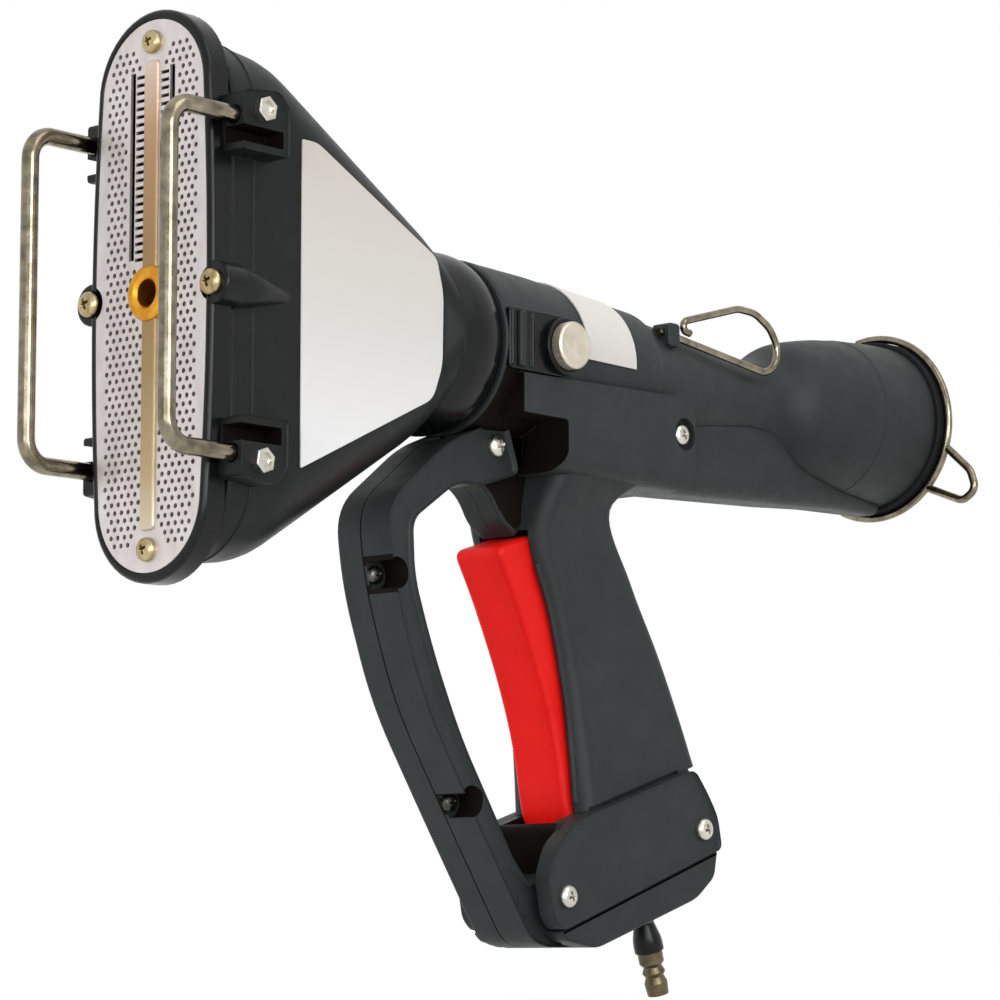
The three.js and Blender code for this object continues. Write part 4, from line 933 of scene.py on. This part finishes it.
def make_burner_plate():
    """Perforated sheet with a tinted ridge down the middle."""
    hole_radius = 0.92
    hole_sides = 10
    screw_hole_radius = 1.7
    ridge_half, ridge_corner = 3.5, 2
    slots = comb_slots()
    dots = plate_dots(slots)
    holes = [(Vector((0, 0)), RING_RADIUS + 0.1, 48)]
    for side in (-1, 1):
        holes.append((Vector((0, side * PLATE_SCREW_Z)), screw_hole_radius, 16))
    loops = [list(oval(PLATE, 0, 32, 24))]
    loops += [circle(*hole) for hole in holes]
    loops += [circle(centre, hole_radius, hole_sides) for centre in dots]
    for centre, half, tall in slots:
        corners = ((-half, -tall), (half, -tall), (half, tall), (-half, tall))
        loops.append([centre + Vector(corner) for corner in corners])
    points, edges = [], []
    for loop in loops:
        first = len(points)
        points.extend(loop)
        edges.extend((first + i, first + (i + 1) % len(loop)) for i in range(len(loop)))
    flat, _, triangles, *_ = delaunay_2d_cdt(points, edges, [], 0, 1e-5)
    # The small holes are looked up by the cell of the sheet that they lie in. A triangle belongs to a hole
    # when its middle is nearer to the hole's middle than a share of the radius
    cell = 4
    large_share, small_share = 0.995, 0.92
    crowd = {}
    for centre in dots:
        crowd.setdefault((round(centre.x / cell), round(centre.y / cell)), []).append(centre)

    def solid_at(p):
        if any((p - centre).length < radius * large_share for centre, radius, _ in holes):
            return False
        if any(abs(p.x - s.x) < half and abs(p.y - s.y) < tall for s, half, tall in slots):
            return False
        home = (round(p.x / cell), round(p.y / cell))
        return not any((p - centre).length < hole_radius * small_share
                       for i in (-1, 0, 1) for k in (-1, 0, 1)
                       for centre in crowd.get((home[0] + i, home[1] + k), ()))

    faces = [tri for tri in triangles if solid_at(sum((flat[i] for i in tri), Vector((0, 0))) / 3)]
    sheet = mesh_object("burner_plate_shown", [(PLATE_FRONT_X, p.x, p.y) for p in flat], faces)
    for face in sheet.data.polygons:
        if face.normal.x > 0:
            face.flip()
    thick = sheet.modifiers.new("thickness", "SOLIDIFY")
    thick.thickness = PLATE_THICKNESS * MM
    thick.offset = -1
    bake(sheet)
    dress(sheet, "stainless_steel", "head", "burner_plate", sharp=30)
    ridge_shape = rectangle(-ridge_half, -RIDGE_HALF_HEIGHT, ridge_half, RIDGE_HALF_HEIGHT, ridge_corner)
    ridge_front, ridge_back = PLATE_FRONT_X - 1.2, PLATE_FRONT_X + 0.2
    ridge = slab("plate_ridge", ridge_shape, ridge_front, ridge_back, "x", ease=1.0, ease_end=0)
    dress(cut(ridge, plug(-4, 4, RING_RADIUS, (FACE_X, 0, 0), sides=96)), "tinted_steel", "head")


def make_injector_ring():
    bore, tube = 4.8, 7
    dress(turned("injector_ring_shown", rounded_profile([
        (FACE_X - 1.4, bore, 0.3), (FACE_X - 2.6, bore + 1.2, 0.4), (FACE_X - 2.6, RING_RADIUS - 1.4, 0.5),
        (FACE_X - 1.2, RING_RADIUS, 0.5), (FACE_X + 2, RING_RADIUS), (FACE_X + 2, tube), (FACE_X + 10, tube),
        (FACE_X + 10, bore),
    ])), "brass", "head", "injector_ring")


def make_guard_rods():
    bend = 9
    for name, side in SIDES:
        path = bent_path([(x, side * GUARD_Y, up * GUARD_HALF_HEIGHT) for x, up in (
            (GUARD_LEG_END_X, 1), (GUARD_FRONT_X, 1), (GUARD_FRONT_X, -1), (GUARD_LEG_END_X, -1),
        )], bend)
        rod = wire(f"guard_rod_{name}_shown", path, GUARD_WIRE_RADIUS)
        dress(rod, "chrome_wire", "head", f"guard_rod_{name}")


def make_label_plate():
    thickness = 0.6
    back = -HEAD_HALF_WIDTH - 0.02
    shape = outline([(FACE_X + along, *rest) for along, *rest in (
        (43.5, -59, 1), (110, -27, 4), (115, -14, 4), (115.5, 12, 4), (112, 25, 3), (51, 57, 3),
        (43.5, 57, 1),
    )])
    plate = slab("label_plate_shown", shape, back - thickness, back, ease=0.25, ease_end=0, steps=2)
    dress(plate, "white_plate", "head", "label_plate")


def make_neck():
    """The collar behind the head: one smooth bulge that ends in a turned-in edge."""
    bore = 27.6
    stops = [(NECK_X, NECK_RADIUS), (NECK_X + 8, COLLAR_RADIUS - 0.1),
             (COLLAR_BACK_X - 6, COLLAR_RADIUS - 0.4), (COLLAR_BACK_X, COLLAR_RADIUS - 2.6)]
    collar = turned("neck_collar_shown", [(NECK_X, bore), *smooth_course(stops, 20), (COLLAR_BACK_X, bore)])
    dress(collar, "gloss_black_plastic", "head", "neck_collar", sharp=40)


def make_head_screws(pan, hexagon_head):
    plate_size, side_size, clamp_size = 4.2, 4.6, 4.5
    forward = (-1, 0, 0)
    for end, up in ENDS:
        seat = (PLATE_FRONT_X, 0, up * PLATE_SCREW_Z)
        put_screw(pan, f"plate_screw_{end}", plate_size, seat, forward, "head", "yellow_zinc")
    for name, side in SIDES:
        seat = (PLATE_FRONT_X - 0.05, side * SIDE_SCREW_Y, 0)
        put_screw(pan, f"side_screw_{name}", side_size, seat, forward, "head", "yellow_zinc")
        for end, up in ENDS:
            seat = (CLAMP_SCREW[0], side * CLAMP_FACE_Y, up * CLAMP_SCREW[1])
            put_screw(hexagon_head, f"clamp_screw_{name}_{end}", clamp_size, seat, (0, side, 0), "head")


# Body
def make_housing():
    front_bore, end_bore = 30.05, 23.65
    low_z, high_z = -10, 11
    root = -29
    ease = 0.8
    outside = rounded_profile([
        (HOUSING_FRONT_X, front_bore), (HOUSING_FRONT_X, 33, 0.5), (HOUSING_FRONT_X + 1.5, 33.6, 0.8),
        (SADDLE_FRONT_X, 33.2), *HOUSING_PROFILE[2:4], (HOUSING_END_X - 2, 27.2, 1),
        (HOUSING_END_X, 26.2, 0.6), (HOUSING_END_X, end_bore),
    ])
    inside = [(HOUSING_END_X - 4, end_bore), (HOUSING_END_X - 4, 24.4), (2, 27.2), (-8, 28.7), (-30, 28.7),
              (-30, front_bore)]

    def rib(start, width, height):
        x = HOUSING_FRONT_X + 1.5 + start
        shape = rectangle(x, low_z, x + width, high_z, ease, 3)
        return slab("rib", shape, -height, root, ease=ease, ease_end=0)

    def beside_saddle(point):
        in_front = HOUSING_FRONT_X + 1 < point.x < SADDLE_FRONT_X and point.z < low_z - 1
        in_hollow = SADDLE_FRONT_X < point.x < GRIP_HOLLOW[1][0] and point.z < HOLLOW_TOP_Z + 1
        return in_front or in_hollow

    housing = merged("body_housing_shown", turned("housing", outside + inside), rib(4.2, 3.4, 35.3))
    dress(housing, "charcoal_plastic", "frame", "body_housing", sharp=35)
    # Painted shade on the housing in front of the saddle and in the hollow beside it
    paint_shade(housing, beside_saddle)
    pad = slab("pad", outline([
        (HOUSING_FRONT_X + 1, low_z - 1, 2), (LOCK[0], low_z - 1), (LOCK[0], high_z + 1),
        (HOUSING_FRONT_X + 1, high_z + 1, 2),
    ]), -33.9, root, ease=0.5, ease_end=0)
    cut(pad, plug(25, 36, 10.8, (LOCK[0], 0, LOCK[1]), TOWARD_NEAR, 64))
    ribs = merged("housing_ribs", pad, rib(0, 1.8, 34.8), rib(11, 1.6, 34.8))
    dress(ribs, "gloss_black_plastic", "frame", sharp=35)


def make_lock():
    """The sprung knob that locks the swivelling head, in its socket."""
    origin = (LOCK[0], 0, LOCK[1])
    grooves, groove_depth = 60, 0.4
    socket = turned("lock_socket_shown", rounded_profile([
        (26, 0), (26, 10.9), (36.4, 10.9, 0.5), (36.4, 9.3, 0.3), (35.6, 9.3), (35.6, 0),
    ]), origin, TOWARD_NEAR)
    dress(socket, "gloss_black_plastic", "frame", "lock_socket")
    knob = turned("lock_knob_shown", rounded_profile([
        (26.7, 0), (26.7, 2.5, 0.3), (28.4, 2.9), (28.4, 4.4), (28.9, 4.4), (28.9, 2.9), (35.9, 2.9),
        (35.9, 8.6, 0.3), (36.3, 9), (39.7, 9, 0.3), (40.6, 8.2, 0.4), (40.5, 6.4, 0.6), (40.4, 0),
    ]), origin, TOWARD_NEAR, sides=180, ripple=(grooves, groove_depth, 36.2, 39.8))
    dress(knob, "zinc_steel", "lock_button", "lock_knob", look="knob_finish", sharp=50)


def make_name_plate():
    """A curved sheet on the top of the near side."""
    front, back = -6, 25
    first, last = math.radians(84.5), math.radians(183.3)
    columns, rows = 10, 40
    inner_gap, outer_gap = 0.1, 0.68
    arc = [first + (last - first) * k / rows for k in range(rows + 1)]

    def housing_radius(x):
        return 29.8 + (10 - x) * 0.08 if x < 10 else 29.8 - (x - 10) * (2.6 / 33)

    rings = []
    for i in range(columns + 1):
        x = front + (back - front) * i / columns
        ring = [(housing_radius(x) + inner_gap, angle) for angle in arc]
        ring += [(housing_radius(x) + outer_gap, angle) for angle in reversed(arc)]
        rings.append([(x, r * math.cos(angle), r * math.sin(angle)) for r, angle in ring])
    dress(bridged("name_plate_shown", rings), "white_plate", "frame", "name_plate")


def make_barrel():
    bore = 23.55
    tube = turned("barrel", rounded_profile([
        (HOUSING_END_X - 12, 20), (HOUSING_END_X - 12, bore), (HOUSING_END_X + 0.1, bore),
        (HOUSING_END_X + 0.1, 25.2, 0.5), (BARREL_END_X - 5, BARREL_TIP), (BARREL_END_X - 5, BARREL_SEAT),
        (BARREL_END_X, BARREL_SEAT), (BARREL_END_X, BARREL_SEAT - 2),
    ]))
    shape = outline([(52, 12, 1.5), (59, 12, 1.5), (59, 21.4, 2), (52, 21.4, 2)])
    bracket = slab("bracket", shape, -23.4, -15, ease=0.8, ease_end=0)
    dress(merged("rear_barrel_shown", tube, bracket), "charcoal_plastic", "frame", "rear_barrel", sharp=35)


def make_rear():
    seat = BARREL_SEAT + 0.1
    wall = 2.8
    inner = [(BELL_END_X, 31), (BARREL_END_X + 48, 29.6), (BARREL_END_X + 36, 27.4),
             (BARREL_END_X + 22, 22.6), (BARREL_END_X + 11, seat), (BARREL_END_X - 5, seat)]
    bell = turned("rear_bell_shown", smooth_course(BELL_PROFILE, 48) + inner)
    dress(bell, "charcoal_plastic", "frame", "rear_bell", sharp=35)
    cap = turned("rear_cap_shown", rounded_profile([
        (BELL_END_X + 0.05, 31), (*CAP_PROFILE[0], 0.4), (*CAP_PROFILE[1], 6), (*CAP_PROFILE[2], 0.5),
        (CAP_END_X, CAP_RADIUS - wall, 0.5), (CAP_END_X - 18, CAP_RADIUS - wall, 2),
    ]))
    dress(cap, "charcoal_plastic", "frame", "rear_cap", sharp=35)
    rim = turned("intake_rim_shown", rounded_profile([
        (CAP_END_X - 8.5, CAP_RADIUS + 0.1), (CAP_END_X - 8.5, CAP_RADIUS + 2, 0.6),
        (CAP_END_X + 1.5, CAP_RADIUS + 2, 1.6), (CAP_END_X + 1.5, CAP_RADIUS - 2, 1.2),
        (CAP_END_X + 0.1, CAP_RADIUS - 2), (CAP_END_X + 0.1, CAP_RADIUS + 0.1),
    ]))
    dress(rim, "black_rubber", "frame", "intake_rim", sharp=35)


def make_wire_clip():
    """The clip round the intake rim, with a hanging eye on the near side."""
    gauge = 1.7
    x = CAP_END_X - 4
    radius = CAP_RADIUS + 2 + gauge + 0.1
    start, sweep = math.radians(78), math.radians(218)
    steps = 72
    angles = [start + sweep * step / steps for step in range(steps + 1)]
    hoop = [(x, radius * math.cos(angle), radius * math.sin(angle)) for angle in angles]
    eye_angle = math.radians(213)
    outward = Vector((0, math.cos(eye_angle), math.sin(eye_angle)))
    along = Vector((0, -math.sin(eye_angle), math.cos(eye_angle)))
    corners = ((0, -10.5), (15, -8), (21.6, -2.5), (18.5, 4.8), (0, 8.5))
    eye = bent_path([Vector((x, 0, 0)) + outward * (radius + out) + along * aside for out, aside in corners],
                    (8, 4.5, 5))
    clip = merged("rear_wire_clip_shown", wire("hoop", hoop, gauge), wire("eye", eye, gauge))
    dress(clip, "chrome_wire", "frame", "rear_wire_clip")


def on_loop_hinge(x):
    """A point of the line that the wire loop swings on."""
    return (x, LOOP_HINGE[1], LOOP_HINGE[2] + LOOP_SLOPE * (x - LOOP_HINGE[0]))


def make_hang_loop():
    gauge = 1.5
    raised = ((124.5, 13.5), (125.6, 21.5), (120.5, 28.5), (111, 33.2), (100, 33.6), (67, 24.3), (60.8, 20.4),
              (69, 19.4))
    bends = (10, 8, 9, 12, 15, 20, 6, 2.2)
    corners = [on_loop_hinge(49.5), on_loop_hinge(117.5)] + [(x, LOOP_HINGE[1], z) for x, z in raised]
    dress(wire("hang_loop_shown", bent_path(corners, bends), gauge), "chrome_wire", "hanger", "hang_loop")


def body_room(gap):
    """The outer form of the collar, the housing and the barrel, grown by a gap."""
    return turned("body_room", [
        (HOUSING_FRONT_X - 30, 0), (HOUSING_FRONT_X - 30, COLLAR_RADIUS + 0.8),
        (HOUSING_FRONT_X, COLLAR_RADIUS + 0.8), *[(x, radius + gap) for x, radius in HOUSING_PROFILE],
        (HOUSING_END_X, 25.2 + gap), (BARREL_END_X - 5, BARREL_TIP + gap), (BARREL_END_X, BARREL_TIP + gap),
        (BARREL_END_X, 0),
    ])


def make_fairing():
    """The fairing under the barrel that hides the gas pipe."""
    gap = 0.1
    fairing = bridged("lower_fairing_shown", [
        rounded_ring(SADDLE_BACK_X - 13, -44.4, -8, 15, 8),
        rounded_ring(INJECTOR_X + 4, -40.8, -8, 13.5, 8),
        rounded_ring(INJECTOR_X + 33, -39.2, -14, 11.5, 7),
        rounded_ring(FAIRING_END_X, -38.6, -20, 7.5, 4),
    ])
    bell = smooth_course(BELL_PROFILE, 48) + CAP_PROFILE
    bell_room = turned("bell_room", [
        (BARREL_END_X - 5.2, 0), (BARREL_END_X - 5.2, BARREL_TIP + gap), *[(x, r + gap) for x, r in bell],
        (CAP_END_X, 0),
    ])
    cut(fairing, body_room(gap), bell_room, grip_form())
    dress(fairing, "charcoal_plastic", "frame", "lower_fairing", sharp=35)


# Grip
def raked_ring(up, front, back, half_width, radius):
    return [raked(p.z, p.y, up) for p in rounded_ring(0, front, back, half_width, radius)]


def level_ring(z, front, back, half_width, radius):
    return [Vector((p.z, p.y, z)) for p in rounded_ring(0, front, back, half_width, radius)]


def saddle_ring(x, top, half_width):
    ring = rounded_ring(x, SADDLE_BOTTOM_Z, top + 20, half_width, 8)
    return [Vector((p.x, p.y, min(p.z, top))) for p in ring]


def handle_rings():
    """The sections of the handle from the saddle down, eased between measured ones."""
    stops = [
        level_ring(SADDLE_BOTTOM_Z + 4, -16, 40, 28.5, 8),
        raked_ring(GRIP_TOP, -39, 6.5, 19, 6),
        raked_ring(-90, -37, 11.2, 18, 6),
        raked_ring(-120, -38.3, 18.4, 18, 6),
        raked_ring(-145, -42, 21.8, 19, 6),
        raked_ring(GRIP_BOTTOM, -46, 23.6, 20, 6),
    ]
    places = (0, 26, 56, 86, 111, 131.7)
    ring_steps = 36
    courses = [smooth_course(list(zip(places, corner)), ring_steps) for corner in zip(*stops)]
    return [[course[step][1] for course in courses] for step in range(ring_steps + 1)]


def slot_lip(side):
    """The course of the lip beside the trigger's slot, along the front of the handle."""
    first_ring = 10
    sunk = 0.4
    y = side * (TRIGGER_HALF_WIDTH + 1.7)
    across, along = raked(1, 0, 0), raked(0, 0, 1)
    rings = handle_rings()[first_ring:-1]
    fronts = [min((Vector(point) for point in ring), key=across.dot) for ring in rings]
    return [raked(front.dot(across) + sunk, y, front.dot(along)) for front in fronts]


def grip_form():
    """The solid outside of the grip: the saddle under the body, and the handle."""
    saddle = bridged("grip", [
        saddle_ring(SADDLE_FRONT_X, SADDLE_TOP_FRONT, 33.6),
        saddle_ring(SADDLE_BACK_X, SADDLE_TOP_BACK, 30.5),
    ])
    side_view = outline([
        (SADDLE_FRONT_X - 1, 0), (SADDLE_FRONT_X - 1, SADDLE_BOTTOM_Z - 1),
        (SADDLE_BACK_X, SADDLE_BOTTOM_Z - 1, 12), (SADDLE_BACK_X, 0),
    ], 10)
    combine(saddle, "INTERSECT", [slab("side_view", side_view, -40, 40)])
    return unite(saddle, bridged("handle", handle_rings()))


def in_grip_hollow(point):
    """Whether a point is on the front face of the saddle or in the hollow beside the web."""
    start, end = Vector(GRIP_HOLLOW[2][:2]), Vector(GRIP_HOLLOW[3])
    before_slope = (end - start).normalized().cross(Vector((point.x, point.z)) - start) < 1
    between = point.x < start.x + 0.1 and end.y < point.z < HOLLOW_TOP_Z + 0.1
    beside_web = abs(point.y) > WEB_HALF_WIDTH - 0.1
    return point.x < SADDLE_FRONT_X + 0.1 or (between and before_slope and beside_web)


def make_grip():
    whole = grip_form()
    web = slab("web", outline([
        (-47, -30), (-14, -30), (-14, -60), (-22, -68.6), (-30, -64, 4), (-37, -53, 6), (-47, -49, 5),
    ]), -WEB_HALF_WIDTH, WEB_HALF_WIDTH, ease=1.5)
    trigger_room = slab("trigger_room", (
        (-62, GRIP_BOTTOM - 1), (-20, GRIP_BOTTOM - 1), (-20, -68), (-26, -57.5), (-62, -57.5),
    ), -TRIGGER_ROOM_HALF_WIDTH, TRIGGER_ROOM_HALF_WIDTH, "raked")
    recess = plug(27.5, 40, 6.2, (SADDLE_SCREW[0], 0, SADDLE_SCREW[1]), TOWARD_NEAR, end_radius=6.8)
    line = rectangle(-60, GRIP_BOTTOM - 1, 10, GRIP_BOTTOM + 1.3)
    hollows = [slab("hollow", outline(GRIP_HOLLOW), side * WEB_HALF_WIDTH, side * 40) for side in (-1, 1)]
    lines = [slab("line", line, side * 18.4, side * 25, "raked") for side in (-1, 1)]
    cut(whole, *hollows, *lines, trigger_room, body_room(0.1), recess)
    unite(whole, web)
    edge_x, edge_y = SADDLE_FRONT_X + 0.7, 33.2
    edge_radius, lip_radius = 0.9, 1.2
    for name, side in SIDES:
        half = add_object("half", whole.data.copy())
        keep = slab("keep", rectangle(-200, -300, 200, 100), side * SEAM, side * 80)
        combine(half, "INTERSECT", [keep])
        edge = [(edge_x, side * edge_y, SADDLE_TOP_FRONT - 0.6), (edge_x, side * edge_y, HOLLOW_TOP_Z + 0.4)]
        beads = wire("bead", edge, edge_radius), wire("bead", slot_lip(side), lip_radius)
        shell = merged(f"grip_shell_{name}_shown", half, *beads)
        dress(shell, "charcoal_plastic", "frame", f"grip_shell_{name}", sharp=35)
        # Painted shade on the saddle's front face and in the hollow beside the web
        paint_shade(shell, in_grip_hollow)
    bpy.data.objects.remove(whole)


def make_trigger():
    wall = 2.6
    front = outline([
        (-56.5, -60, 5), (-52, -80, 8), (-47.5, -110, 14), (-46.3, -138, 12), (-49.5, -164, 6),
        (-47.5, -181, 5), (-35.5, -181, 5), (-34, -165, 6), (-31, -138, 10), (-31, -60, 5),
    ], 8)
    room = outline([
        (-53, -63), (-49, -80, 6), (-44.5, -110, 12), (-43.3, -138, 10), (-45, -160, 4), (-20, -160),
        (-20, -63),
    ])
    lever = slab("trigger_shown", front, -TRIGGER_HALF_WIDTH, TRIGGER_HALF_WIDTH, "raked", ease=wall)
    hollow = slab("hollow", room, wall - TRIGGER_HALF_WIDTH, TRIGGER_HALF_WIDTH - wall, "raked")
    dress(cut(lever, hollow), "red_plastic", "trigger_lever", "trigger", sharp=35)


def make_finger_guard():
    seam, seam_ease = 0.3, 0.35
    pockets = [raked(across, -GUARD_LOOP_HALF_WIDTH / 2, up) for across, up in GUARD_SCREWS.values()]

    def in_seam_or_pocket(point):
        in_pocket = any((point - pocket).length < GUARD_POCKET_RADIUS + 0.6 for pocket in pockets)
        return abs(point.y) < seam + seam_ease or in_pocket

    for name, side in SIDES:
        half = slab(f"finger_guard_{name}_shown", outline(GUARD_LOOP, 8), side * seam,
                    side * GUARD_LOOP_HALF_WIDTH, "raked", ease=seam_ease, ease_end=1.8)
        fork = slab("fork", rectangle(-61.5, -60, -30, -5), -side * 2, side * (WEB_HALF_WIDTH + 0.1), "raked")
        cuts = [fork, body_room(0.4)]
        if name == "near":
            cuts += [plug(GUARD_SCREW_SEAT, 20, GUARD_POCKET_RADIUS, raked(across, 0, up), TOWARD_NEAR, 40)
                     for across, up in GUARD_SCREWS.values()]
        dress(cut(half, *cuts), "charcoal_plastic", "frame", f"finger_guard_{name}", sharp=35)
        # Painted shade along the seam between the halves and in the screw pockets
        paint_shade(half, in_seam_or_pocket)


def make_body_screws(pan):
    large, small = 4.4, 3.4

    def put(node, radius, seat, look=None):
        put_screw(pan, node, radius, seat, TOWARD_NEAR, "frame", look=look)

    put("saddle_screw", large, (SADDLE_SCREW[0], -27.5, SADDLE_SCREW[1]))
    put("lug_screw", large, raked(LUG[0], -GUARD_LOOP_HALF_WIDTH, LUG[1]))
    for name, (across, up) in GUARD_SCREWS.items():
        # The guard screws wear a darker copy of the zinc, which is painted shade from their pockets
        put(f"guard_screw_{name}", small, raked(across, -GUARD_SCREW_SEAT, up), "pocket_shaded_screw")
    for name, (across, up) in BASE_SCREWS.items():
        put(f"base_screw_{name}", large, raked(across, -BASE_HALF_WIDTH, up))


# Base
def make_base():
    """The foot of the grip: two covers, and the block with its keel between and below them."""
    shape = outline([
        (-57.5, GRIP_BOTTOM, 4), (-71.5, -171.5, 5), (-79.5, -182, 4), (-81, -196, 3),
        (-77.5, COVER_BOTTOM_FRONT, 3), (22, COVER_BOTTOM_BACK, 3), (23.4, -187, 4), (20.3, -177, 4),
        (15.5, GRIP_BOTTOM, 4),
    ], 8)
    for name, side in SIDES:
        cover = slab(f"base_cover_{name}_shown", shape, side * (BASE_HALF_WIDTH - COVER_THICKNESS),
                     side * BASE_HALF_WIDTH, "raked", ease=0.4, ease_end=1.2)
        dress(cover, "charcoal_plastic", "frame", f"base_cover_{name}", sharp=35)

    def block(name, points, half_width, ease=0):
        return slab(name, points, -half_width, half_width, "raked", ease=ease)

    core_half = BASE_HALF_WIDTH - COVER_THICKNESS - 0.05
    front = GUARD_FOOT_BACK + 0.2
    core = block("base_block_shown", outline([
        (front, GRIP_BOTTOM - 0.1, 3), (20, GRIP_BOTTOM - 0.1, 2), (22, -178, 3), (22.5, -190, 3), (21, -204),
        (front, -207),
    ]), core_half)
    unite(core, block("keel", outline([
        (-77, COVER_BOTTOM_FRONT - 0.5, 1.5), (-74.5, -207, 2), (-59, -214.8, 4), (3.5, -214.3, 4),
        (16.5, -209.5, 3), (21.5, COVER_BOTTOM_BACK - 0.5, 1.5),
    ], 8), BASE_HALF_WIDTH - 0.5, ease=1.2))
    guard_room = block("guard_room", rectangle(-90, -220, front, -190), GUARD_LOOP_HALF_WIDTH + 0.1)
    trigger_room = block("trigger_room", rectangle(-59, -186, -27, GRIP_BOTTOM + 1), TRIGGER_ROOM_HALF_WIDTH)
    inlet_hole = plug(0, 12, 5.5, raked(INLET_ACROSS, 0, INLET_TOP), raked(0, 0, -1))
    cut(core, guard_room, trigger_room, inlet_hole)
    dress(core, "charcoal_plastic", "frame", "base_block", sharp=35)
    # Painted shade on the front of the block, between the guard's foot and the covers
    front_middle = raked(-60, 0, -185)
    painted_shade_reach = 24
    paint_shade(core, lambda point: abs(point.y) < core_half + 1 and (point - front_middle).length < painted_shade_reach)


def make_inlet():
    origin = raked(INLET_ACROSS, 0, INLET_TOP)
    down = raked(0, 0, -1)
    across = Vector((0, 1, 0))
    beside = down.cross(across)
    neck_length = 13
    washer_end = 24.5
    rings = [[origin + down * place + across * (p.x * radius) + beside * (p.y * radius) for p in hexagon()]
             for place, radius in ((0, 5.2), (neck_length - 0.6, 5.2), (neck_length, 4.7))]
    dress(bridged("inlet_nut_shown", rings), "dark_brass", "frame", "inlet_nut", sharp=20)
    washer = turned("inlet_washer_shown", rounded_profile([
        (neck_length + 0.05, 3.05), (neck_length + 0.05, 4, 0.3), (neck_length + 7, 5.8, 2),
        (washer_end, 5.8, 0.5), (washer_end, 3.05),
    ]), origin, down, 64)
    dress(washer, "gloss_black_plastic", "frame", "inlet_washer")
    nipple = turned("inlet_nipple_shown", rounded_profile([
        (5, 0), (5, 3), (washer_end + 0.1, 3), (washer_end + 0.1, 4.9, 0.3), (29, 4.9, 0.3), (30.5, 3.6, 0.3),
        (33, 4.6, 0.2), (34.5, 3.6, 0.3), (37, 4.6, 0.2), (42, 4.2, 0.3), (42, 2), (30, 2), (30, 0),
    ]), origin, down, 64)
    dress(nipple, "dark_brass", "hose_swivel", "inlet_nipple", sharp=30)


# The build
dress_cad_nodes()
make_camera()
make_world(0.52, 0.92)
make_lamp("key", (0.1, -1.2, 1.3), 1.0, 6.5)
make_lamp("near_fill", (-1.4, -0.9, -0.35), 1.2, 18)
make_lamp("far_fill", (-1.4, 0.9, -0.35), 1.2, 20, gloss=False)
make_lamp("collar_glint", (-0.55, -1.4, 0.2), 0.8, 14, matt=False)
make_floor()

pan_head = screw_template()
hexagon_head = hexagon_template()
make_head_shell()
make_front_rim()
make_burner_plate()
make_injector_ring()
make_guard_rods()
make_label_plate()
make_neck()
make_head_screws(pan_head, hexagon_head)
make_housing()
make_lock()
make_name_plate()
make_barrel()
make_rear()
make_wire_clip()
make_hang_loop()
make_fairing()
make_grip()
make_trigger()
make_finger_guard()
make_body_screws(pan_head)
make_base()
make_inlet()
for template in (pan_head, hexagon_head):
    bpy.data.objects.remove(template)
